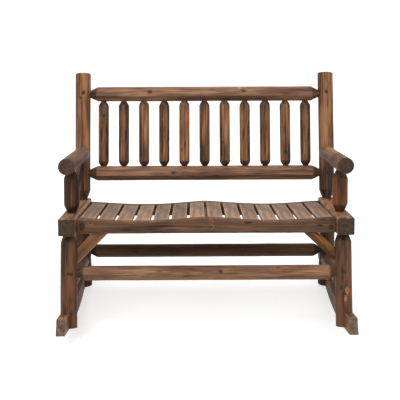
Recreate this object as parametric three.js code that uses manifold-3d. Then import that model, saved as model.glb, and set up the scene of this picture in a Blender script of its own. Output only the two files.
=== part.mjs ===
// A rustic rocking bench for two, built from scorched fir logs and boards.
// Every log is drawn down to a round tenon at its ends and sits in a bored mortise.
// The bench has two side frames, a double-scooped slatted seat, a reclined spindle back
// and two curved runners that are half-lapped into the outer sides of the legs.
//
// Millimetres, +Z up, the front faces -Y, the origin is on the floor under the middle of
// the bench. The seat and all that stands on it share one deck group, tilted back as the
// bench rests. In that group Z is zero on top of the side beams and Y is zero at their
// front ends.

import * as THREE from 'three';
import { mergeVertices } from 'three/addons/utils/BufferGeometryUtils.js';
import Module from 'manifold-3d';

const wasm = await Module();
wasm.setup();

// Clearances and counts of facets
const fit = 0.3; // left between pieces that touch
const cutOverrun = 40; // how far a cutting tool reaches past the wood
const logSides = 18;
const spindleSides = 12;
const boltSides = 12;
const apronStations = 36;
const runnerFrontFacets = 7; // of the runners' underside, ahead of the one on the floor
const runnerBackFacets = 6; // and behind it

// Stance of the whole bench
const frameSpacing = 1036; // between the middles of the two side frames
const seatFrontHeight = 470; // top of a side beam's front end above the floor
const deckTilt = 9.75; // degrees, the back of the seat is lower

// Tapers are carved fuller than cones: halfway up, this share of the widening is done
const spindleSwellShare = 0.72;
const postSwellShare = 0.62; // legs and arm posts too
const railSwellShare = 0.56; // stretchers too

// Side beams, square in section
const beamWidth = 64;
const beamHeight = 64;
const beamLength = 578;
const beamEase = 2; // of the long edges
const mortiseWeb = 12; // wood left between a mortise from above and one from below

// Back posts, set into the beams and leaning back
const postRadius = 32;
const postInset = 44; // from a beam's back end to the post's axis, on the beam's top
const postRecline = 9.4; // degrees from square to the deck
const postTipRadius = 19.5;
const postTaper = 30;
const postAboveRail = 88.5; // from the top rail's axis to the post's top
const postEase = 4; // of the top's edge

// Back rails
const railRadius = 30.8;
const lowRailHeight = 111; // along the posts, from the beams' top
const railSpacing = 338.5; // between the two rails' axes
const railTipRadius = 16.5;
const railTaper = 31;
const railTenon = 22;
const railHewn = 2.2; // shaved off a rail's front, and off the corner below it
const railHewnTurn = 50; // degrees from the front down to that corner

// Spindles of the back
const spindleCount = 11;
const spindleRadius = 22.2;
const spindleInset = 88; // from a post's axis to the outermost spindle's
const spindleTipRadius = 10.5;
const spindleTaper = 21;
const spindleTenon = 16;

// Arms and arm posts
const armRadius = 31;
const armHeight = 192.5; // axis above the beams' top
const armSetback = 17.5; // of the arm's front end behind the beam's
const armTenon = 20;
const armTenonRadius = 15;
const armEase = 2; // of the front end's edge
const armPostRadius = 29.8;
const armPostSetback = 163;
const armPostTipRadius = 16;
const armPostTaper = 32;
const armPostTenon = 20;

// Legs, raked apart: the front ones forwards, the back ones backwards
const legRadius = 32;
const legTipRadius = 20;
const legTaper = 32;
const frontLegSetback = 78.5; // axis at the beam's underside
const frontLegRake = 9.8; // degrees from square to the deck
const backLegInset = 57.5; // axis from the beam's back end, at the beam's underside
const backLegRake = 8.3;
const frontFootLift = 6; // a front leg's end above the runner's underside
const backFootLift = 3;

// Stretchers between the legs
const stretcherRadius = 27.8;
const stretcherTipRadius = 14;
const stretcherTaper = 26;
const stretcherTenon = 16;
const frontStretcherShare = 0.505; // of the way down a front leg, to the runner's top
const backStretcherShare = 0.63;
const sideStretcherShare = 0.651;

// Runners
const runnerRadius = 1650; // of the underside
const runnerHeight = 59;
const runnerThickness = 34;
const lapInset = 3; // of the lap between leg and runner from the leg's axis, inwards
const runnerStep = 1.8; // degrees of the curved stretch that each facet takes
const runnerFrontRun = 167; // straight run past the curve
const runnerBackRun = 80;
const runnerTipRake = 22; // degrees that an end is cut past square
const runnerContact = 365; // from a beam's front end back to where the runner touches

// Bolts through the runners into the legs
const boltRadius = 4;
const boltHeadRadius = 10;
const boltHeadHeight = 6;
const boltReach = 20; // past the leg's axis
const boltSink = 1; // of the head below the runner's face

// Aprons, bearers and joist of the seat
const apronThickness = 25;
const apronSetback = 49.5; // of the front apron's face behind the beams' ends
const apronEndDrop = 4.5; // of its top below the beams' top, at the ends
const seatFall = 1.05; // degrees that the seat drops backwards past the beams
const humpRise = 2.5; // of the middle hump above the ends
const scoopDepth = 13; // of the two scoops
const scoopPower = 1.25; // of a sine, which makes the scoops fuller or narrower
const apronRounding = 6; // of the top front edge
const backLip = 3; // the back apron stands this far above the slats
const backApronInset = 26.5; // of the back apron's face from the beams' back ends
const bearerThickness = 38;
const boardEase = 2; // of the long edges
const joistWidth = 44;
const joistHeight = 34;
const joistOffset = 16; // of its middle from the bench's middle

// Slats
const slatsPerScoop = 7;
const slatGap = 8.9;
const slatThickness = 15;
const slatEase = 2; // of the long edges
const slatEndGap = 8.5; // between the outer slats and the beams

// Corner braces
const leftBraceSide = 35; // of its square section
const leftBraceTurn = 8; // degrees that its front face turns up
const rightBraceSide = 27;
const rightBraceTurn = 33;
const braceAngle = 45; // degrees up from level
const braceFootHeight = 32; // of its axis at the leg's face, above the front stretcher
const braceInset = 24; // of its axis behind the apron's face
const braceLap = 12; // how far its coped foot laps round the leg

const rad = THREE.MathUtils.degToRad;
const halfSpacing = frameSpacing / 2;
const seatHalf = halfSpacing - beamWidth / 2;

// Wood and metal of the pieces
function wood(colour, roughness) {
  return new THREE.MeshStandardMaterial({ color: colour, roughness, metalness: 0 });
}
const logWood = wood(0x6f523f, 0.82);
const railWood = wood(0x7d6150, 0.8);
const spindleWood = wood(0x6a4f3b, 0.82);
const boardWood = wood(0x7a6353, 0.85);
const slatWood = wood(0x95857a, 0.88);
const braceWood = wood(0x8a6547, 0.8);
const darkWood = wood(0x4a3a30, 0.85);
const boltMetal = new THREE.MeshStandardMaterial({ color: 0x8b857b, roughness: 0.4, metalness: 0.9 });

// Turns a closed three.js geometry into a solid that can be joined and cut
function solid(geometry) {
  const bare = geometry.clone();
  bare.deleteAttribute('normal');
  bare.deleteAttribute('uv');
  const joined = mergeVertices(bare);
  const index = joined.index.array;
  const kept = [];
  for (let i = 0; i < index.length; i += 3) {
    const [a, b, c] = [index[i], index[i + 1], index[i + 2]];
    if (a !== b && b !== c && c !== a) kept.push(a, b, c);
  }
  return new wasm.Manifold(new wasm.Mesh({
    numProp: 3,
    vertProperties: new Float32Array(joined.attributes.position.array),
    triVerts: new Uint32Array(kept),
  }));
}

// Turns a solid back into a geometry
function geometryOf(body) {
  const mesh = body.getMesh();
  const geometry = new THREE.BufferGeometry();
  geometry.setAttribute('position', new THREE.BufferAttribute(new Float32Array(mesh.vertProperties), 3));
  geometry.setIndex(new THREE.BufferAttribute(new Uint32Array(mesh.triVerts), 1));
  const flat = geometry.toNonIndexed();
  flat.computeVertexNormals();
  return flat;
}

// Cuts every tool geometry out of a base geometry
function cut(base, tools) {
  let body = solid(base);
  for (const tool of tools) body = body.subtract(solid(tool));
  return geometryOf(body);
}

// A turned piece along +Z from a profile of [radius, height] points, bottom to top
function turned(profile, sides) {
  const points = profile.map(([radius, height]) => new THREE.Vector2(radius, height));
  return new THREE.LatheGeometry(points, sides).rotateX(Math.PI / 2);
}

// A plain round bar along +Z from one height to another
function bar(radius, from, to, sides = logSides) {
  return turned([[0, from], [radius, from], [radius, to], [0, to]], sides);
}

// A log along +Z with a taper and a tenon at both ends; the tapers' tips are at 0 and length
function tenonedLog({ length, radius, tip, taper, share, lowTenon, highTenon, sides = logSides }) {
  const swell = taperSwell(radius, tip, share);
  return turned([
    [0, -lowTenon], [tip, -lowTenon], [tip, 0], [swell, taper / 2], [radius, taper],
    [radius, length - taper], [swell, length - taper / 2], [tip, length], [tip, length + highTenon],
    [0, length + highTenon],
  ], sides);
}

// Radius halfway along a taper
function taperSwell(radius, tip, share) {
  return tip + (radius - tip) * share;
}

// How far from a round host's axis a tapered tip stays when the host leans by an angle
function tipOffset(hostRadius, tip, lean = 0) {
  return hostRadius / Math.cos(lean) + tip * Math.tan(lean) + fit;
}

// Turns a geometry about X, then Y, and shifts it
function placed(geometry, { x = 0, y = 0, z = 0, turnX = 0, turnY = 0 }) {
  return geometry.clone().rotateX(turnX).rotateY(turnY).translate(x, y, z);
}

// A named mesh at a place in its group
function piece(name, geometry, material, x = 0, y = 0, z = 0) {
  const mesh = new THREE.Mesh(geometry, material);
  mesh.name = name;
  mesh.position.set(x, y, z);
  return mesh;
}

const sides = [['left', -1], ['right', 1]];
const braces = { left: [leftBraceSide, leftBraceTurn], right: [rightBraceSide, rightBraceTurn] };
const recline = rad(postRecline);
const tilt = rad(deckTilt);
const fall = rad(seatFall);
const frontRake = rad(frontLegRake);
const backRake = rad(backLegRake);
const beamTenon = (beamHeight - mortiseWeb) / 2;
const postSetback = beamLength - postInset;
const backLegSetback = beamLength - backLegInset;

// The runner's underside is a run of chords of a circle; one of them lies on the floor
const runnerCentreHeight = runnerRadius * Math.cos(rad(runnerStep) / 2);

// Moves a point or geometry from the floor's frame into the deck's
const deckMatrix = new THREE.Matrix4().makeRotationX(-tilt).setPosition(0, 0, seatFrontHeight);
const intoDeck = deckMatrix.clone().invert();
const runnerCentre = new THREE.Vector3(0, runnerContact, runnerCentreHeight).applyMatrix4(intoDeck);

// Places of the legs' axes: a matrix from a leg's own frame, +Z up its axis, into the deck's
function legMatrix(setback, rake) {
  return new THREE.Matrix4().makeRotationX(rake).setPosition(0, setback, -beamHeight);
}
const frontLegMatrix = legMatrix(frontLegSetback, -frontRake);
const backLegMatrix = legMatrix(backLegSetback, backRake);
const frontEnd = { matrix: frontLegMatrix, rake: frontRake, footLift: frontFootLift };
const backEnd = { matrix: backLegMatrix, rake: backRake, footLift: backFootLift };

// Distance down a leg from the beam to the circle of a given radius about the runner's centre
function reachDown(matrix, radius) {
  const centre = runnerCentre.clone().applyMatrix4(matrix.clone().invert());
  return Math.sqrt(radius * radius - centre.y * centre.y) - centre.z;
}
const runnerTopRadius = runnerRadius - runnerHeight;
const frontShoulder = reachDown(frontLegMatrix, runnerTopRadius);
const backShoulder = reachDown(backLegMatrix, runnerTopRadius);
const frontStretcherDrop = frontShoulder * frontStretcherShare;
const backStretcherDrop = backShoulder * backStretcherShare;
const sideStretcherDrop = frontShoulder * sideStretcherShare * Math.cos(frontRake); // square to the deck

// From the runner's circle, as its outline is drawn, into the deck's frame
const runnerFrame = intoDeck.clone().multiply(
  new THREE.Matrix4().makeTranslation(0, runnerContact, runnerCentreHeight),
);

// Places along the back posts, from the beams' top
const postMatrix = new THREE.Matrix4().makeRotationX(-recline).setPosition(0, postSetback, 0);
const topRailHeight = lowRailHeight + railSpacing;
const postTop = topRailHeight + postAboveRail;
const postAxisAtArm = postSetback + armHeight * Math.tan(recline);
const railSeat = tipOffset(postRadius, railTipRadius);
const spindlePitch = (frameSpacing - 2 * spindleInset) / (spindleCount - 1);
const spindlePlaces = Array.from({ length: spindleCount }, (_, i) => (
  (i - (spindleCount - 1) / 2) * spindlePitch
));

// Ends of the stretchers between the tips of their tapers
const stretcherSeat = tipOffset(legRadius, stretcherTipRadius);
const sideStretcherStart = frontLegSetback - sideStretcherDrop * Math.tan(frontRake)
  + tipOffset(legRadius, stretcherTipRadius, frontRake);
const sideStretcherEnd = backLegSetback + sideStretcherDrop * Math.tan(backRake)
  - tipOffset(legRadius, stretcherTipRadius, backRake);

// Bolts cross the runners at half their height
const boltCircle = runnerRadius - runnerHeight / 2;
const runnerInner = fit - lapInset; // from the legs' axes
const runnerOuter = runnerInner + runnerThickness;
const boltHeadTop = runnerOuter - boltSink;

// Places of the seat's pieces along the deck
const apronBack = apronSetback + apronThickness;
const seatBack = beamLength - backApronInset - apronThickness;
const bearerFront = apronBack + fit;
const bearerBack = seatBack - fit - bearerThickness;
const slatCount = 2 * slatsPerScoop;
const slatPitch = (2 * (seatHalf - slatEndGap) + slatGap) / slatCount;
const slatWidth = slatPitch - slatGap;
const slatPlaces = Array.from({ length: slatCount }, (_, i) => slatPlace(i));

// Points in (Y, Z) about the circle's centre: a straight run, the curve from the front to the
// back in as many chords as the runner has, and another straight run
function runnerEdge(radius, frontRun, backRun) {
  const points = [];
  for (let i = -runnerFrontFacets; i <= runnerBackFacets + 1; i++) {
    const angle = rad(runnerStep) * (i - 1 / 2);
    points.push(new THREE.Vector2(radius * Math.sin(angle), -radius * Math.cos(angle)));
  }
  const tangent = (angle, run) => new THREE.Vector2(run * Math.cos(angle), run * Math.sin(angle));
  const frontAngle = -rad(runnerStep) * (runnerFrontFacets + 1 / 2);
  const backAngle = rad(runnerStep) * (runnerBackFacets + 1 / 2);
  const front = points[0].clone().sub(tangent(frontAngle, frontRun));
  const back = points[points.length - 1].clone().add(tangent(backAngle, backRun));
  return [front, ...points, back];
}

// The band between two edges of a runner, cut back at the ends of the inner one
function runnerBand(outerRadius, innerRadius, cutBack = 0) {
  const outer = runnerEdge(outerRadius, runnerFrontRun, runnerBackRun);
  const inner = runnerEdge(innerRadius, runnerFrontRun - cutBack, runnerBackRun - cutBack);
  return [...outer, ...inner.reverse()];
}

// Extrudes an outline drawn in (Y, Z) along X
function extrudedAlongX(points, fromX, toX) {
  const settings = { depth: toX - fromX, bevelEnabled: false };
  const axes = new THREE.Matrix4().makeBasis(
    new THREE.Vector3(0, 1, 0), new THREE.Vector3(0, 0, 1), new THREE.Vector3(1, 0, 0),
  );
  return new THREE.ExtrudeGeometry(new THREE.Shape(points), settings)
    .applyMatrix4(axes).translate(fromX, 0, 0);
}

// Extrudes an outline drawn in (X, Z) along Y
function extrudedAlongY(points, fromY, toY) {
  const settings = { depth: toY - fromY, bevelEnabled: false };
  return new THREE.ExtrudeGeometry(new THREE.Shape(points), settings)
    .rotateX(Math.PI / 2).translate(0, toY, 0);
}

// A rectangle with its four edges eased, centred in X, its top at height zero
function easedOutline(width, height, ease) {
  const [w, e, h] = [width / 2, ease, height];
  return [[-w, e - h], [e - w, -h], [w - e, -h], [w, e - h], [w, -e], [w - e, 0], [e - w, 0], [-w, -e]]
    .map(([x, z]) => new THREE.Vector2(x, z));
}

// Joins rings of points, each with as many points in the same order, into a closed skin
function loft(rings) {
  const across = rings[0].length;
  const index = [];
  for (let i = 0; i + 1 < rings.length; i++) {
    for (let j = 0; j < across; j++) {
      const [a, b] = [i * across + j, i * across + (j + 1) % across];
      index.push(a, b, a + across, b, b + across, a + across);
    }
  }
  const last = (rings.length - 1) * across;
  for (let j = 1; j + 1 < across; j++) index.push(0, j + 1, j, last, last + j, last + j + 1);
  const geometry = new THREE.BufferGeometry().setFromPoints(rings.flat());
  geometry.setIndex(index);
  const flat = geometry.toNonIndexed();
  flat.computeVertexNormals();
  return flat;
}

// Side beams, bored from above for the posts and from below for the legs
function seatBeam() {
  const blank = extrudedAlongY(easedOutline(beamWidth, beamHeight, beamEase), 0, beamLength);
  const post = bar(postTipRadius + fit, -beamTenon, cutOverrun).applyMatrix4(postMatrix);
  const armPost = bar(armPostTipRadius + fit, -armPostTenon - fit, cutOverrun)
    .translate(0, armPostSetback, 0);
  const leg = bar(legTipRadius + fit, -cutOverrun, beamTenon);
  const frontLeg = leg.clone().applyMatrix4(frontLegMatrix);
  const backLeg = leg.clone().applyMatrix4(backLegMatrix);
  return cut(blank, [post, armPost, frontLeg, backLeg]);
}

// A back post in its own frame, its foot's axis on the beam's top
function backPost(side) {
  const foot = tipOffset(0, postTipRadius, recline);
  const blank = turned([
    [0, fit - beamTenon], [postTipRadius, fit - beamTenon], [postTipRadius, foot],
    [taperSwell(postRadius, postTipRadius, postSwellShare), foot + postTaper / 2],
    [postRadius, foot + postTaper], [postRadius, postTop - postEase], [postRadius - postEase, postTop],
    [0, postTop],
  ], logSides);
  const railHole = bar(railTipRadius + fit, railSeat - railTenon - fit, cutOverrun + postRadius);
  const holes = [lowRailHeight, topRailHeight].map((z) => (
    placed(railHole, { z, turnY: -side * Math.PI / 2 })
  ));
  const arm = armTenonBar(fit).translate(0, 0, armHeight).applyMatrix4(postMatrix.clone().invert());
  return cut(blank, [...holes, arm]);
}

// The arm's tenon, or with a clearance its mortise, at the height of the arm's axis
function armTenonBar(clearance) {
  const front = postAxisAtArm - postRadius / Math.cos(recline);
  const from = front - armRadius;
  return bar(armTenonRadius + clearance, from, front + armTenon + clearance).rotateX(-Math.PI / 2);
}

// An arm log, coped round the post and bored for the arm post
function arm() {
  const blank = turned([
    [0, armSetback], [armRadius - armEase, armSetback], [armRadius, armSetback + armEase],
    [armRadius, postAxisAtArm], [0, postAxisAtArm],
  ], logSides).rotateX(-Math.PI / 2);
  const reach = postTop + cutOverrun;
  const post = bar(postRadius + fit, 0, reach).applyMatrix4(postMatrix).translate(0, 0, -armHeight);
  const hole = bar(armPostTipRadius + fit, -cutOverrun - armRadius, armPostTenon + fit - armRadius)
    .translate(0, armPostSetback, 0);
  const coped = solid(blank).subtract(solid(post)).add(solid(armTenonBar(0)));
  return geometryOf(coped.subtract(solid(hole)));
}

// An arm post between the beam and the arm, its lower taper's tip at zero
function armPost() {
  const length = armHeight - armRadius - 2 * fit;
  return tenonedLog({
    length, radius: armPostRadius, tip: armPostTipRadius, taper: armPostTaper, share: postSwellShare,
    lowTenon: armPostTenon, highTenon: armPostTenon,
  });
}

// A leg in its own frame: the top's axis on the beam's underside, the leg reaching down
function leg({ matrix, rake, footLift }, side, holes) {
  const head = -tipOffset(0, legTipRadius, rake);
  const length = reachDown(matrix, runnerRadius);
  const blank = turned([
    [0, -length], [legRadius, -length], [legRadius, head - legTaper],
    [taperSwell(legRadius, legTipRadius, postSwellShare), head - legTaper / 2], [legTipRadius, head],
    [legTipRadius, beamTenon - fit], [0, beamTenon - fit],
  ], logSides);
  const fromFloor = new THREE.Matrix4().multiplyMatrices(matrix.clone().invert(), runnerFrame);
  const lapSides = [-side * lapInset, side * (legRadius + cutOverrun)];
  const lap = extrudedAlongX(
    runnerBand(runnerRadius + cutOverrun, runnerTopRadius - fit),
    Math.min(...lapSides), Math.max(...lapSides),
  ).applyMatrix4(fromFloor);
  const foot = extrudedAlongX(
    runnerBand(runnerRadius + cutOverrun, runnerRadius - footLift),
    -legRadius - cutOverrun, legRadius + cutOverrun,
  ).applyMatrix4(fromFloor);
  const bolt = bar(boltRadius + fit, -boltReach - fit, cutOverrun, boltSides);
  const boltHole = placed(bolt, { z: -reachDown(matrix, boltCircle), turnY: side * Math.PI / 2 });
  return cut(blank, [lap, foot, boltHole, ...holes]);
}

// The hole for a crossing stretcher, on a leg's inner side
function crossHole(drop, side) {
  const hole = bar(stretcherTipRadius + fit, stretcherSeat - stretcherTenon - fit, cutOverrun);
  return placed(hole, { z: -drop, turnY: -side * Math.PI / 2 });
}

// The hole for a side stretcher, bored level with the deck
function sideHole(matrix, from, to) {
  return bar(stretcherTipRadius + fit, from, to).rotateX(-Math.PI / 2)
    .translate(0, 0, -beamHeight - sideStretcherDrop).applyMatrix4(matrix.clone().invert());
}

function frontLeg(side) {
  const seat = sideStretcherStart - stretcherTenon - fit;
  const holes = [
    crossHole(frontStretcherDrop, side),
    sideHole(frontLegMatrix, seat, sideStretcherStart + cutOverrun),
  ];
  return leg(frontEnd, side, holes);
}

function backLeg(side) {
  const seat = sideStretcherEnd + stretcherTenon + fit;
  const holes = [
    crossHole(backStretcherDrop, side),
    sideHole(backLegMatrix, sideStretcherEnd - cutOverrun, seat),
  ];
  return leg(backEnd, side, holes);
}

// A stretcher of a given length between the tips of its tapers
function stretcher(length) {
  return tenonedLog({
    length, radius: stretcherRadius, tip: stretcherTipRadius, taper: stretcherTaper,
    share: railSwellShare, lowTenon: stretcherTenon, highTenon: stretcherTenon,
  });
}

// A bolt along +Z, its zero on the leg's axis; the clearance makes its hole
function bolt(clearance, headEnd) {
  const [shank, head] = [boltRadius + clearance, boltHeadRadius + clearance];
  const seat = boltHeadTop - boltHeadHeight - clearance;
  return turned([
    [0, -boltReach - clearance], [shank, -boltReach - clearance], [shank, seat], [head, seat],
    [head, headEnd], [0, headEnd],
  ], boltSides);
}

// Where a bolt crosses a leg's axis, on the floor's frame
function boltPlace(matrix) {
  const onAxis = new THREE.Vector3(0, 0, -reachDown(matrix, boltCircle));
  return onAxis.applyMatrix4(matrix).applyMatrix4(deckMatrix);
}

// A runner with its two bolt holes; X is zero on the legs' axes
function runner(side) {
  const cutBack = runnerHeight * Math.tan(rad(runnerTipRake));
  const points = runnerBand(runnerRadius, runnerTopRadius, cutBack);
  const [inner, outer] = [side * runnerInner, side * runnerOuter];
  const blank = extrudedAlongX(points, Math.min(inner, outer), Math.max(inner, outer))
    .translate(0, runnerContact, runnerCentreHeight);
  const holes = [frontLegMatrix, backLegMatrix].map((matrix) => {
    const { y, z } = boltPlace(matrix);
    return placed(bolt(fit, runnerThickness + cutOverrun), { y, z, turnY: side * Math.PI / 2 });
  });
  return cut(blank, holes);
}

// A back rail along X, hewn flat on its front, with its row of spindle holes above or below
function rail(facing) {
  const length = frameSpacing - 2 * railSeat;
  const blank = tenonedLog({
    length, radius: railRadius, tip: railTipRadius, taper: railTaper, share: railSwellShare,
    lowTenon: railTenon, highTenon: railTenon,
  }).rotateY(Math.PI / 2).translate(-length / 2, 0, 0);
  const ends = [facing * (railRadius - spindleTenon), facing * (railRadius + cutOverrun)];
  const hole = bar(spindleTipRadius + fit, Math.min(...ends), Math.max(...ends), spindleSides);
  const shaving = new THREE.BoxGeometry(length, cutOverrun, 2 * railRadius)
    .translate(0, railHewn - railRadius - cutOverrun / 2, 0);
  const shavings = [0, rad(railHewnTurn)].map((turnX) => placed(shaving, { turnX }));
  return cut(blank, [...shavings, ...spindlePlaces.map((x) => placed(hole, { x }))]);
}

// A spindle of the back, its lower taper's tip at zero
function spindle() {
  return tenonedLog({
    length: railSpacing - 2 * (railRadius + fit), radius: spindleRadius, tip: spindleTipRadius,
    taper: spindleTaper, share: spindleSwellShare, lowTenon: spindleTenon - 2 * fit,
    highTenon: spindleTenon - 2 * fit, sides: spindleSides,
  });
}

// Height of the beams' underside in the falling seat's frame, at a place along it
function beamUnderside(y) {
  return (y - apronSetback) * Math.sin(fall) - beamHeight;
}

// Height of the scooped seat's surface at a place across the bench
function seatSurface(x) {
  const share = Math.abs(x) / seatHalf;
  const scoop = scoopDepth * Math.sin(Math.PI * share) ** scoopPower;
  return humpRise - apronEndDrop - humpRise * share * share - scoop;
}

// An apron: its section follows the seat's surface, with the top edge facing outwards rounded
function apron(outerY, innerY, lip) {
  const inward = Math.sign(innerY - outerY);
  const bottom = beamUnderside(Math.max(outerY, innerY));
  const rings = [];
  for (let i = 0; i <= apronStations; i++) {
    const x = (seatHalf - fit) * (2 * i / apronStations - 1);
    const top = seatSurface(x) + lip;
    const rounded = [0, Math.PI / 4, Math.PI / 2].map((angle) => [
      outerY + inward * apronRounding * (1 - Math.sin(angle)), top - apronRounding * (1 - Math.cos(angle)),
    ]);
    const section = [[outerY, bottom], [innerY, bottom], [innerY, top], ...rounded];
    const ring = section.map(([y, z]) => new THREE.Vector3(x, y, z));
    rings.push(inward > 0 ? ring : ring.reverse());
  }
  return loft(rings);
}

// A slat's place across the bench, its slope and its top's height
function slatPlace(i) {
  const x = slatEndGap - seatHalf + slatWidth / 2 + i * slatPitch;
  const [low, high] = [seatSurface(x - slatWidth / 2), seatSurface(x + slatWidth / 2)];
  return { x, z: (low + high) / 2, slope: Math.atan2(high - low, slatWidth) };
}

// The two lower corners of a slat, in (X, Z)
function slatCorners({ x, z, slope }) {
  return [-1, 1].map((end) => new THREE.Vector2(end * slatWidth / 2, -slatThickness)
    .rotateAround(new THREE.Vector2(), slope).add(new THREE.Vector2(x, z)));
}

// A bearer that the slats rest on, its top stepped to their slopes
function bearer(place) {
  const bottom = beamUnderside(place + bearerThickness);
  const end = seatHalf - fit;
  const lower = new THREE.Vector2(0, -fit);
  const top = slatPlaces.flatMap(slatCorners).map((corner) => corner.add(lower));
  const [first, last] = [top[0], top[top.length - 1]];
  return extrudedAlongY([
    new THREE.Vector2(-end, bottom), new THREE.Vector2(end, bottom), new THREE.Vector2(end, last.y),
    ...top.reverse(), new THREE.Vector2(-end, first.y),
  ], 0, bearerThickness);
}

// The short joist under the middle slats, between the two bearers
function joist() {
  const under = slatPlaces.filter(({ x }) => Math.abs(x - joistOffset) < slatWidth + joistWidth / 2);
  const top = Math.min(...under.flatMap(slatCorners).map((corner) => corner.y)) - fit;
  const outline = easedOutline(joistWidth, joistHeight, boardEase);
  return extrudedAlongY(outline, bearerFront + bearerThickness + fit, bearerBack - fit).translate(0, 0, top);
}

// A corner brace from a front leg up to the apron, coped on the leg; X is zero in mid bench
function brace(name, side) {
  const [width, turn] = braces[name];
  const angle = rad(braceAngle);
  const legFace = halfSpacing - legRadius;
  const under = -beamHeight - fit;
  const foot = braceFootHeight + stretcherRadius - beamHeight - frontStretcherDrop * Math.cos(frontRake);
  const run = (under - foot) / Math.tan(angle);
  const length = run / Math.cos(angle) + 2 * (braceLap + 2 * width);
  const blank = placed(new THREE.BoxGeometry(length, width, width), {
    x: side * (legFace - run / 2), y: apronSetback + braceInset, z: (foot + under) / 2,
    turnX: -rad(turn), turnY: side * angle,
  });
  const block = new THREE.BoxGeometry(frameSpacing, frameSpacing, frameSpacing);
  const above = placed(block, { z: under + halfSpacing });
  const beyond = placed(block, { x: side * (legFace + braceLap + halfSpacing) });
  const sleeve = bar(legRadius + fit, -frontShoulder, 0).applyMatrix4(frontLegMatrix);
  return cut(blank, [above, beyond, placed(sleeve, { x: side * halfSpacing })]);
}

// The side frames' pieces that stand on the deck
function addSide(deck, back, frontLegs, backLegs, [name, side]) {
  const x = side * halfSpacing;
  deck.add(piece(`seat_beam_${name}`, seatBeam(), logWood, x));
  deck.add(piece(`arm_${name}`, arm(), logWood, x, 0, armHeight));
  deck.add(piece(`arm_post_${name}`, armPost(), logWood, x, armPostSetback, fit));
  deck.add(piece(`corner_brace_${name}`, brace(name, side), braceWood));
  back.add(piece(`back_post_${name}`, backPost(side), logWood, x));
  frontLegs.add(piece(`front_leg_${name}`, frontLeg(side), logWood, x));
  backLegs.add(piece(`back_leg_${name}`, backLeg(side), logWood, x));
  const rung = stretcher(sideStretcherEnd - sideStretcherStart);
  const sideRung = piece(`side_stretcher_${name}`, rung, logWood, x, sideStretcherStart);
  sideRung.position.z = -beamHeight - sideStretcherDrop;
  sideRung.rotation.x = -Math.PI / 2;
  deck.add(sideRung);
}

// The two rails and the spindles between them
function addBack(back) {
  back.add(piece('back_bottom_rail', rail(1), railWood, 0, 0, lowRailHeight));
  back.add(piece('back_top_rail', rail(-1), railWood, 0, 0, topRailHeight));
  const shape = spindle();
  spindlePlaces.forEach((x, i) => {
    const name = `spindle_${String(i + 1).padStart(2, '0')}`;
    back.add(piece(name, shape, spindleWood, x, 0, lowRailHeight + railRadius + fit));
  });
}

// Aprons, bearers, joist and slats
function addSeat(deck) {
  deck.add(piece('front_apron', apron(apronSetback, apronBack, 0), boardWood));
  deck.add(piece('back_apron', apron(seatBack + apronThickness, seatBack, backLip), boardWood));
  deck.add(piece('seat_bearer_front', bearer(bearerFront), boardWood, 0, bearerFront));
  deck.add(piece('seat_bearer_back', bearer(bearerBack), boardWood, 0, bearerBack));
  deck.add(piece('seat_centre_joist', joist(), boardWood, joistOffset));
  const outline = easedOutline(slatWidth, slatThickness, slatEase);
  const shape = extrudedAlongY(outline, apronBack + fit, seatBack - fit);
  slatPlaces.forEach((place, i) => {
    const slat = piece(`slat_${String(i + 1).padStart(2, '0')}`, shape, slatWood, place.x, 0, place.z);
    slat.rotation.y = -place.slope;
    deck.add(slat);
  });
}

// A stretcher that crosses between the two legs of a pair
function addCrossStretcher(legs, name, drop, material) {
  const length = frameSpacing - 2 * stretcherSeat;
  const rung = piece(name, stretcher(length), material, -length / 2, 0, -drop);
  rung.rotation.y = Math.PI / 2;
  legs.add(rung);
}

// Runners and their bolts stand on the floor's frame
function addRunners(bench, [name, side]) {
  const x = side * halfSpacing;
  bench.add(piece(`rocker_${name}`, runner(side), boardWood, x));
  for (const [end, matrix] of [['front', frontLegMatrix], ['back', backLegMatrix]]) {
    const { y, z } = boltPlace(matrix);
    const screw = piece(`rocker_bolt_${end}_${name}`, bolt(0, boltHeadTop), boltMetal, x, y, z);
    screw.rotation.y = side * Math.PI / 2;
    bench.add(screw);
  }
}

// A group inside the deck, at a place along it and turned about X
function deckGroup(deck, y, z, turn) {
  const group = new THREE.Group();
  group.position.set(0, y, z);
  group.rotation.x = turn;
  deck.add(group);
  return group;
}

function buildBench() {
  const bench = new THREE.Group();
  const deck = new THREE.Group();
  deck.position.z = seatFrontHeight;
  deck.rotation.x = -tilt;
  bench.add(deck);
  const back = deckGroup(deck, postSetback, 0, -recline);
  const frontLegs = deckGroup(deck, frontLegSetback, -beamHeight, -frontRake);
  const backLegs = deckGroup(deck, backLegSetback, -beamHeight, backRake);
  for (const side of sides) {
    addSide(deck, back, frontLegs, backLegs, side);
    addRunners(bench, side);
  }
  addBack(back);
  const fallingSeat = deckGroup(deck, apronSetback, 0, -fall); // about the front apron's face
  addSeat(deckGroup(fallingSeat, -apronSetback, 0, 0));
  addCrossStretcher(frontLegs, 'front_stretcher', frontStretcherDrop, railWood);
  addCrossStretcher(backLegs, 'back_stretcher', backStretcherDrop, darkWood);
  const middle = new THREE.Box3().setFromObject(bench, true).getCenter(new THREE.Vector3());
  const whole = new THREE.Group();
  bench.position.y = -middle.y;
  whole.add(bench);
  return whole;
}

export default buildBench();
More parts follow.
